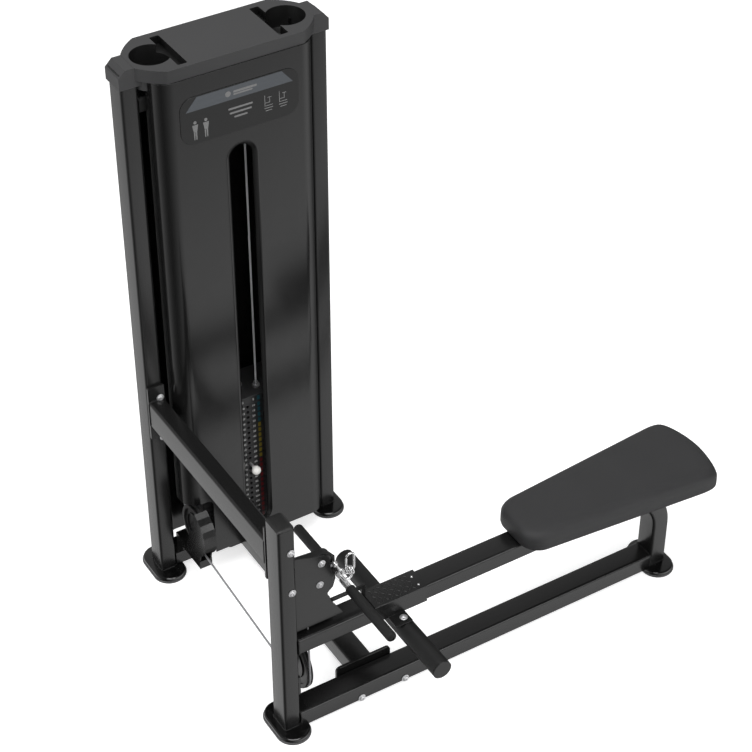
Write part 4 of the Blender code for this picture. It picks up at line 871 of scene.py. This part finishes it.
# Selector pin
# A plain steel pin through one plate and the stem, with a pale plastic ball to pull it by.
knob_white = mottled("knob_white", (0.72, 0.71, 0.68), (0.84, 0.83, 0.8), 50, 4, Roughness=0.28)
PIN = at(0.2553, 0.601, 0.303)
ball = turn(0, 0, 0.0125, -86, 66, 19) + [(0.0056, 0.012), (0.0056, 0.015), (0.005, 0.0155)]
knob = turned(ball, PIN, (0, 1, 0), 40)
turned([(0.0039, 0.015), (0.0039, 0.0985), (0.0026, 0.1)], PIN, (0, 1, 0), 24, form=knob)
for face in knob.faces:
    face.material_index = 1 if face.calc_center_median().y > PIN.y + 0.0153 else 0
keep(solid("selector_pin_turned", knob, knob_white, zinc), "knob_plastic", "selector_pin", body="pin")


# Pulleys
# Moulded black nylon wheels with a deep rounded groove for the cable, ring ribs and a
# steel bearing pressed into the hub.
def groove_profile(groove, half=0.009, rim=0.0045, web=0.0036, bore=0.0065):
    """Half section of a pulley, from the bore out round the groove and back."""
    top = groove + rim
    floor = turn(groove + 0.0034, 0, 0.0034, 240, 120, 8)
    left = [(bore, -half), (bore + 0.0075, -half), (bore + 0.0085, -half + 0.001),
            (bore + 0.009, -web), (groove - 0.0075, -web), (groove - 0.0065, -half + 0.0008),
            (groove - 0.0055, -half), (top - 0.0012, -half), (top, -half + 0.001),
            (top, -half + 0.0024)]
    return left + floor + [(r, -s) for r, s in reversed(left)]


def mirrored(half):
    """A closed section from the half below its middle."""
    return half + [(r, -s) for r, s in reversed(half)]


nylon = mottled("black_nylon", 0.005, 0.009, 40, 4, 0.14, Roughness=0.34)
nylon.relief(nylon.noise(900, 2), 0.12, 0.0003)
for node, body, axis in (("top_pulley_stack", "stack_pulley", 1), ("top_pulley_down", "down_pulley", 1),
                         ("tower_low_pulley", "tower_pulley", 0), ("front_low_pulley", "front_pulley", 0),
                         ("exit_pulley_lower", "exit_pulley", 1),
                         ("exit_pulley_upper", "guide_pulley", 1)):
    low, high = corners(node)
    middle = (low + high) / 2
    groove = (high.z - low.z) / 2 - 0.0045
    line = Vector((1, 0, 0)) if axis == 0 else Vector((0, 1, 0))
    wheel = turned(groove_profile(groove), middle, line, 72, looped=True)
    if groove > 0.035:
        for reach in (0.02, groove * 0.66):
            rib = [(reach, -0.0068), (reach + 0.0006, -0.0074), (reach + 0.0022, -0.0074),
                   (reach + 0.0028, -0.0068)]
            turned(mirrored(rib), middle, line, 72, looped=True, form=wheel)
    keep(solid(node + "_wheel", wheel, nylon), "pulley_nylon", node, body=body)
    ring = mirrored([(0.0056, -0.0086), (0.0064, -0.0092), (0.0092, -0.0092), (0.0098, -0.0088)])
    keep(lathe(node + "_bearing", ring, middle, line, zinc, 40, looped=True), "steel", body=body)

# Cable exit
# Two steel side plates welded behind the front post, with the exit pulleys bolted between
# them and a plastic hood over the top one.
CHEEK_OUTER = 0.0145
CHEEK_THICK = 0.004
EXIT_LOW = (0.098, 0.459)
EXIT_HIGH = (0.104, 0.527)
POST_FACE = 0.0233
near = [(POST_FACE, 0.33), (0.1655, 0.33), (0.1427, 0.3665), (0.129, 0.3895)]
near += turn(0.1385, 0.418, 0.0185, 225, 140, 14)
near += [(0.129, 0.448), (0.135, 0.464), (0.133, 0.478)]
near += turn(*EXIT_HIGH, 0.025, -15, 80, 18) + [(0.08, 0.557), (POST_FACE, 0.577)]
far = [(POST_FACE, 0.33), (0.148, 0.33), (0.131, 0.354), (0.2325, 0.354), (0.2325, 0.3168),
       (0.244, 0.3168), (0.244, 0.367), (0.13, 0.367), (0.129, 0.385), (0.138, 0.396),
       (0.15, 0.406), (0.157, 0.43), (0.156, 0.508), (0.138, 0.531), (0.124, 0.546),
       (POST_FACE, 0.556)]
for node, outline, y in (("exit_cheek_near", near, -CHEEK_OUTER),
                         ("exit_cheek_far", far, CHEEK_OUTER - CHEEK_THICK)):
    plate = solid(node + "_plate", slab(outline, y, y + CHEEK_THICK), powder_coat)
    keep(soften_edges(plate, 0.0007), "frame_paint", node)
hood = [(0.046, 0.554)] + turn(0.11, 0.5275, 0.0265, 90, 5, 24)
hood += turn(0.11, 0.5275, 0.0235, 5, 90, 24) + [(0.046, 0.551)]
hood = solid("exit_hood_moulding", slab(hood, -0.0102, 0.0102), deep_black)
keep(soften_edges(hood, 0.0008), "cap_plastic", "exit_hood")

# Bolts
# Zinc plated button-head bolts on thin washers, with a hexagon socket, through every bolted
# joint of the frame.
dome = [(0.005, 0.0), (0.0098, 0.0), (0.0104, 0.0004), (0.0104, 0.0014), (0.0098, 0.0018),
        (0.008, 0.0018), (0.0082, 0.0026), (0.0078, 0.004), (0.0066, 0.0054), (0.005, 0.0062),
        (0.0036, 0.0065)]
bolt_head = lathe("bolt_head", dome, (0, 0, 0), (0, 0, 1), zinc, 30, crease=28)
carve(bolt_head, lathe("socket", [(0.003, 0.0036), (0.003, 0.008)], (0, 0, 0), (0, 0, 1), zinc, 6))
smooth(bolt_head, 28)


def bolts(name, spots, *nodes):
    """Bolt heads at places, each facing along its aim."""
    keep(repeat(name, bolt_head, zinc, *zip(*spots)), "steel", *nodes)


link_near = corners("link_tube")[1].y - FLANGE_THICK
spots = [(at(x, -HALF_WIDE - 0.0002, z), (0, -1, 0))
         for x, z in ((0.338, 0.0135), (0.205, 0.0135), (0.01, 0.622), (0.01, 0.49))]
spots += [(Vector((POST_X + 0.01, link_near, z)), (0, -1, 0)) for z in (0.629, 0.497)]
spots += [(at(x, TOWER_Y + HALF_WIDE, 0.039), (0, 1, 0)) for x in (0.197, 0.303)]
spots += [(at(x, side * CHEEK_OUTER, z), (0, side, 0)) for x, z in (EXIT_LOW, EXIT_HIGH) for side in (-1, 1)]
bolts("frame_bolts", spots, "exit_pulley_lower_bolt", "exit_pulley_upper_bolt")
axles = bmesh.new()
for x, z in (EXIT_LOW, EXIT_HIGH):
    turned([(0.0046, -0.014), (0.0046, 0.014)], at(x, 0, z), (0, 1, 0), 24, form=axles)
keep(solid("exit_axles", axles, zinc), "steel")


# Cable
# Steel wire rope in a grey plastic jacket. It runs from the stack over the two top pulleys,
# under the two low ones and out to the user. The length above the stack is painted a much
# lighter grey, as a painted highlight.
def strand(points, radius, sides=14, closed=False, form=None):
    """A round wire along a path."""
    rings = []
    across = None
    for i, point in enumerate(points):
        before = points[i - 1] if i or closed else point
        after = points[(i + 1) % len(points)] if i < len(points) - 1 or closed else point
        along = (after - before).normalized()
        across = along.orthogonal() if across is None else across - along * across.dot(along)
        across.normalize()
        other = along.cross(across)
        rings.append([point + (across * cos(2 * pi * j / sides)
                               + other * sin(2 * pi * j / sides)) * radius
                      for j in range(sides)])
    return skin(rings, looped=closed, form=form)


jacket = mottled("cable_jacket", (0.2, 0.2, 0.21), (0.34, 0.34, 0.35), 90, 4, 0.15, Roughness=0.3)
# The same jacket painted far lighter for the cable above the stack: a painted highlight.
painted_highlight_jacket = mottled("bright_cable_jacket", (0.62, 0.62, 0.63), (0.78, 0.78, 0.79), 90, 4, 0.15,
                        Roughness=0.25)
CABLE = 0.0028
EXIT_Z = 0.4913
STACK_CABLE_Y = 0.667
path = [(0.3, 1.4085)] + turn(0.2547, 1.41, 0.0453, 0, 90, 24) + turn(0.1103, 1.41, 0.0453, 90, 180, 24)
path = [at(x, STACK_CABLE_Y, z) for x, z in path]
path += [at(0.065, y, z) for y, z in turn(0.5997, 0.185, 0.0673, 0, -84, 24)
         + turn(0.072, 0.15, 0.0843, 277, 180, 30)]
path += [at(x, 0, z) for x, z in turn(0.098, 0.459, 0.0323, 180, 90, 20) + [(0.11, EXIT_Z)]]
keep(solid("main_cable_run", strand(path, CABLE), jacket), "cable_jacket", "main_cable")
low, high = corners("stack_cable")
lift = [Vector(((low.x + high.x) / 2, (low.y + high.y) / 2, low.z + (high.z - low.z) * i / 12))
        for i in range(13)]
hoist = keep(solid("stack_cable_run", strand(lift, CABLE), painted_highlight_jacket), "cable_jacket", "stack_cable")
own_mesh(hoist)
reach = [at(0.1103 + (0.142 - 0.1103) * i / 24, 0, EXIT_Z) for i in range(25)]
pull = solid("cable_stub_run", strand(reach, CABLE), jacket)
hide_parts("cable_stub")
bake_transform(pull)

# Snap hook
# The ball that stops the cable at the exit, a drilled disc and ring swaged to its
# end, and the chromed spring hook that takes the handle.
def wire(form, points, radius):
    """A bent round wire in the bench's middle plane, added to a form."""
    strand([at(x, 0, z) for x, z in points], radius, form=form)


def eye(form, x, z, reach, radius):
    """A ring of round wire that stands across the bench, added to a form."""
    strand([at(x, y, z + v) for y, v in turn(0, 0, reach, 0, 350, 35)], radius, closed=True, form=form)


fitting = turned(turn(0, 0, 0.0085, -80, 80, 20), at(0.149, 0, EXIT_Z), (1, 0, 0), 32)
wire(fitting, [(0.152, 0.489), (0.156, 0.48), (0.16, 0.468), (0.1625, 0.461)], 0.0035)
disc = mirrored([(0.0042, -0.0022), (0.0048, -0.0027), (0.012, -0.0027), (0.013, -0.0019)])
turned(disc, at(0.165, 0, 0.453), (0, 1, 0), 40, looped=True, form=fitting)
eye(fitting, 0.1895, 0.4515, 0.0105, 0.0023)
wire(fitting, [(0.171, 0.447), (0.18, 0.444), (0.1895, 0.4405)], 0.0024)
keep(solid("cable_end_fitting", fitting, chrome), "chrome", "cable_stop", body="cable_end")
hook = turn(0.1935, 0.4585, 0.0115, 155, 360, 30) + turn(0.1935, 0.494, 0.0115, 0, 155, 24)
hook = strand([at(x, 0, z) for x, z in hook], 0.003, 18)
keep(solid("snap_hook_wire", hook, chrome), "chrome", "snap_hook", body="cable_end")
gate = [(0.001, 0.0), (0.0024, 0.0006), (0.0026, 0.002), (0.0026, 0.025), (0.0022, 0.0262),
        (0.0022, 0.027), (0.0026, 0.0274), (0.0024, 0.0281), (0.001, 0.0283)]
keep(lathe("snap_hook_gate_pin", gate, at(0.182, 0, 0.4669), (0, 0, 1), chrome, 24), "chrome",
     "snap_hook_gate", body="hook_gate")

# Handle
# A straight chromed bar with an eye in its middle for the hook, and a moulded rubber grip
# pushed on each half.
HANDLE = at(0.1735, 0, 0.4205)
bar = turned([(0.0087, -0.229), (0.0095, -0.2282), (0.0095, 0.2282), (0.0087, 0.229)], HANDLE,
             (0, 1, 0), 40)
wire(bar, [(0.173, 0.4245), (0.19, 0.4245), (0.1955, 0.4262), (0.1975, 0.431), (0.1975, 0.4385)], 0.004)
eye(bar, 0.1975, 0.4475, 0.01, 0.0025)
keep(solid("handle_bar_welded", bar, chrome), "chrome", "handle_bar", body="handle")
grip = [(0.0098, 0.032), (0.0124, 0.032), (0.0134, 0.0326), (0.0136, 0.034), (0.0136, 0.0362),
        (0.0133, 0.0376), (0.0135, 0.04), (0.0135, 0.2236)]
grip += [(0.0035 + u, 0.2236 + v * 0.94) for u, v in turn(0, 0, 0.01, 10, 90, 8)]
grip += [(0.0035, 0.2293), (0.0098, 0.2293)]
for node, side in (("grip_near", -1), ("grip_far", 1)):
    keep(lathe(node + "_moulding", grip, HANDLE, (0, side, 0), grip_rubber, 40, looped=True, crease=50),
         "rubber", node, body="handle")

# Foot rest
# A folded steel saddle over the upper rail with a raised tread, and a round foot tube bolted
# up to its flanges, closed by plastic plugs.
FOOT_X, FOOT_Z = 0.316, 0.2385
FOOT_RADIUS = 0.0265
FLANGE_Z = 0.2653
SADDLE_LOW, RAIL_TOP = 0.2665, 0.3168
SHEET = 0.003
top_z = corners("foot_rest_saddle")[1].z
half = HALF_WIDE + 0.0003
fold = [(-half - SHEET, SADDLE_LOW)] + turn(-half, top_z - SHEET, SHEET, 180, 90, 3)
fold += turn(half, top_z - SHEET, SHEET, 90, 0, 3)
fold += [(half + SHEET, SADDLE_LOW), (half, SADDLE_LOW), (half, RAIL_TOP), (-half, RAIL_TOP),
         (-half, SADDLE_LOW)]
saddle = solid("foot_rest_saddle_folded", skin([[at(x, y, z) for y, z in fold] for x in (0.2448, 0.4)]),
               powder_coat)
for side in (-1, 1):
    y0, y1 = sorted((side * (half + 0.001), side * (half + 0.045)))
    flange = straight_tube(at(FOOT_X - 0.034, y0, FLANGE_Z), at(FOOT_X + 0.016, y1, FLANGE_Z + SHEET), 2,
                           0.004)
    carve(saddle, solid("flange", flange, powder_coat), operation="UNION")
keep(soften_edges(smooth(saddle, 32), 0.0005), "frame_paint", "foot_rest_saddle")

tread_paint = mottled("tread_paint", 0.007, 0.022, 240, 4, Roughness=0.34)
lozenge = skin([[Vector((reach * u, wide * v, z)) for u, v in turn(0, 0, 1, 0, 330, 11)]
                for reach, wide, z in ((0.0052, 0.0022, -0.0004), (0.0046, 0.0017, 0.0006),
                                       (0.0026, 0.0008, 0.0011))])
lozenge = solid("tread_lozenge", lozenge, tread_paint, crease=60)
lozenge.data.transform(Matrix.Rotation(radians(-45), 4, "Z"))
for which in (0, 1):
    spots = [at(0.262 + row * 0.0132, -0.024 + line * 0.012, top_z)
             for row in range(9) for line in range(5) if (row + line) % 2 == which]
    keep(repeat(f"saddle_tread_{which}", lozenge, tread_paint, spots), "frame_paint")
    lozenge.data.transform(Matrix.Rotation(radians(90), 4, "Z"))
bpy.data.objects.remove(lozenge)
rivets = bmesh.new()
for side in (-1, 1):
    turned([(0.0034, -0.0002), (0.0034, 0.0004), (0.0029, 0.0013), (0.0019, 0.002), (0.0008, 0.0023)],
           at(0.383, side * 0.0165 - 0.004, top_z), (0, 0, 1), 28, form=rivets)
keep(solid("saddle_rivets", rivets, chrome), "steel")

FOOT_REACH = 0.236
tube = mirrored([(0.024, -FOOT_REACH), (0.0259, -FOOT_REACH), (FOOT_RADIUS, -FOOT_REACH + 0.0006)])
tube = turned(tube, at(FOOT_X, 0, FOOT_Z), (0, 1, 0), 72, looped=True)
worn_black = mottled("matt_black_tube", 0.003, 0.006, 30, 4, 0.12, Roughness=0.44)
keep(solid("foot_rest_tube_drawn", tube, worn_black), "frame_paint", "foot_rest_tube")
plug = [(0.023, -0.012), (0.023, 0.0001), (0.0261, 0.0003), (FOOT_RADIUS, 0.0008),
        (FOOT_RADIUS, 0.0022), (0.0255, 0.0031), (0.02, 0.0033), (0.006, 0.0033)]
for node, side in (("foot_rest_cap_near", -1), ("foot_rest_cap_far", 1)):
    keep(lathe(node + "_plug", plug, at(FOOT_X, side * FOOT_REACH, FOOT_Z), (0, side, 0), plug_plastic, 72),
         "cap_plastic", node)
spots = [(at(FOOT_X, side * 0.057, z), (0, 0, aim)) for side in (-1, 1)
         for z, aim in ((FLANGE_Z + SHEET, 1), (FOOT_Z - FOOT_RADIUS, -1))]
bolts("foot_rest_bolts", spots, "foot_rest_bolt_near", "foot_rest_bolt_far")
bpy.data.objects.remove(bolt_head)

# Seat
# A firm foam pad on a board, wrapped in matt black vinyl that is pulled under the board and
# stapled. It is nearly flat, with a small round along its upper edge.
SEAT_START, SEAT_END = 0.6845, 1.2965
SEAT_TOP = 0.378
SEAT_THICK = 0.054
vinyl = Finish("seat_vinyl")
pores = vinyl.node("TexVoronoi", {"Vector": vinyl.place, "Scale": 620.0}, {"feature": "DISTANCE_TO_EDGE"})
creases = vinyl.share(pores, 0.0, 0.16)
patches = vinyl.noise(9, 3)
vinyl.tone(patches, (0.02, 0.02, 0.021), (0.029, 0.029, 0.03),
           Roughness=0.5 + patches * 0.12 - creases * 0.06)
vinyl.relief(creases + vinyl.noise(60, 4) * 0.8, 0.35, 0.0005)


def seat_outline(inset, steps=56):
    """The pad's outline in plan: narrow in front, wide behind, with a bowed rear end."""
    front, back = SEAT_START + inset, SEAT_END - inset
    corner, bow_depth = 0.05, 0.029
    side = []
    for i in range(steps + 1):
        x = front + (back - front) * (0.5 - 0.5 * cos(pi * i / steps))
        half = 0.087 + 0.046 * min(1.0, (x - SEAT_START) / (SEAT_END - SEAT_START) / 0.88) - inset
        bow = half * sqrt(max(back - x, 0.00002) / bow_depth)
        half = (half ** -8 + bow ** -8) ** -0.125
        pull = corner - sqrt(max(0.0, corner ** 2 - max(0.0, front + corner - x) ** 2))
        side.append((x, max(half - pull, 0.012 - inset * 0.1)))
    return side + [(x, -y) for x, y in reversed(side)]


base = SEAT_TOP - SEAT_THICK
levels = [(0.004, base), (0.001, base + 0.0012), (0.0, base + 0.005), (0.0002, base + 0.025),
          (0.0006, base + 0.034), (0.003, base + 0.0405), (0.0066, base + 0.0468),
          (0.0124, base + 0.0508), (0.021, base + 0.0526), (0.04, base + 0.0532),
          (0.07, base + 0.0534)]
pad = solid("seat_pad_upholstered", skin([[at(x, y, z) for x, y in seat_outline(inset)]
                                          for inset, z in levels]), vinyl, crease=60)
keep(pad, "seat_vinyl", "seat_pad")
board_black = Finish("board_black", Roughness=0.6)
fibres = board_black.noise(120, 5, (0.25, 1, 1))
board_black.tone(fibres, 0.012, 0.024)
board_black.relief(fibres, 0.2, 0.0005)
refinish(board_black, "seat_board")

low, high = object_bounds()
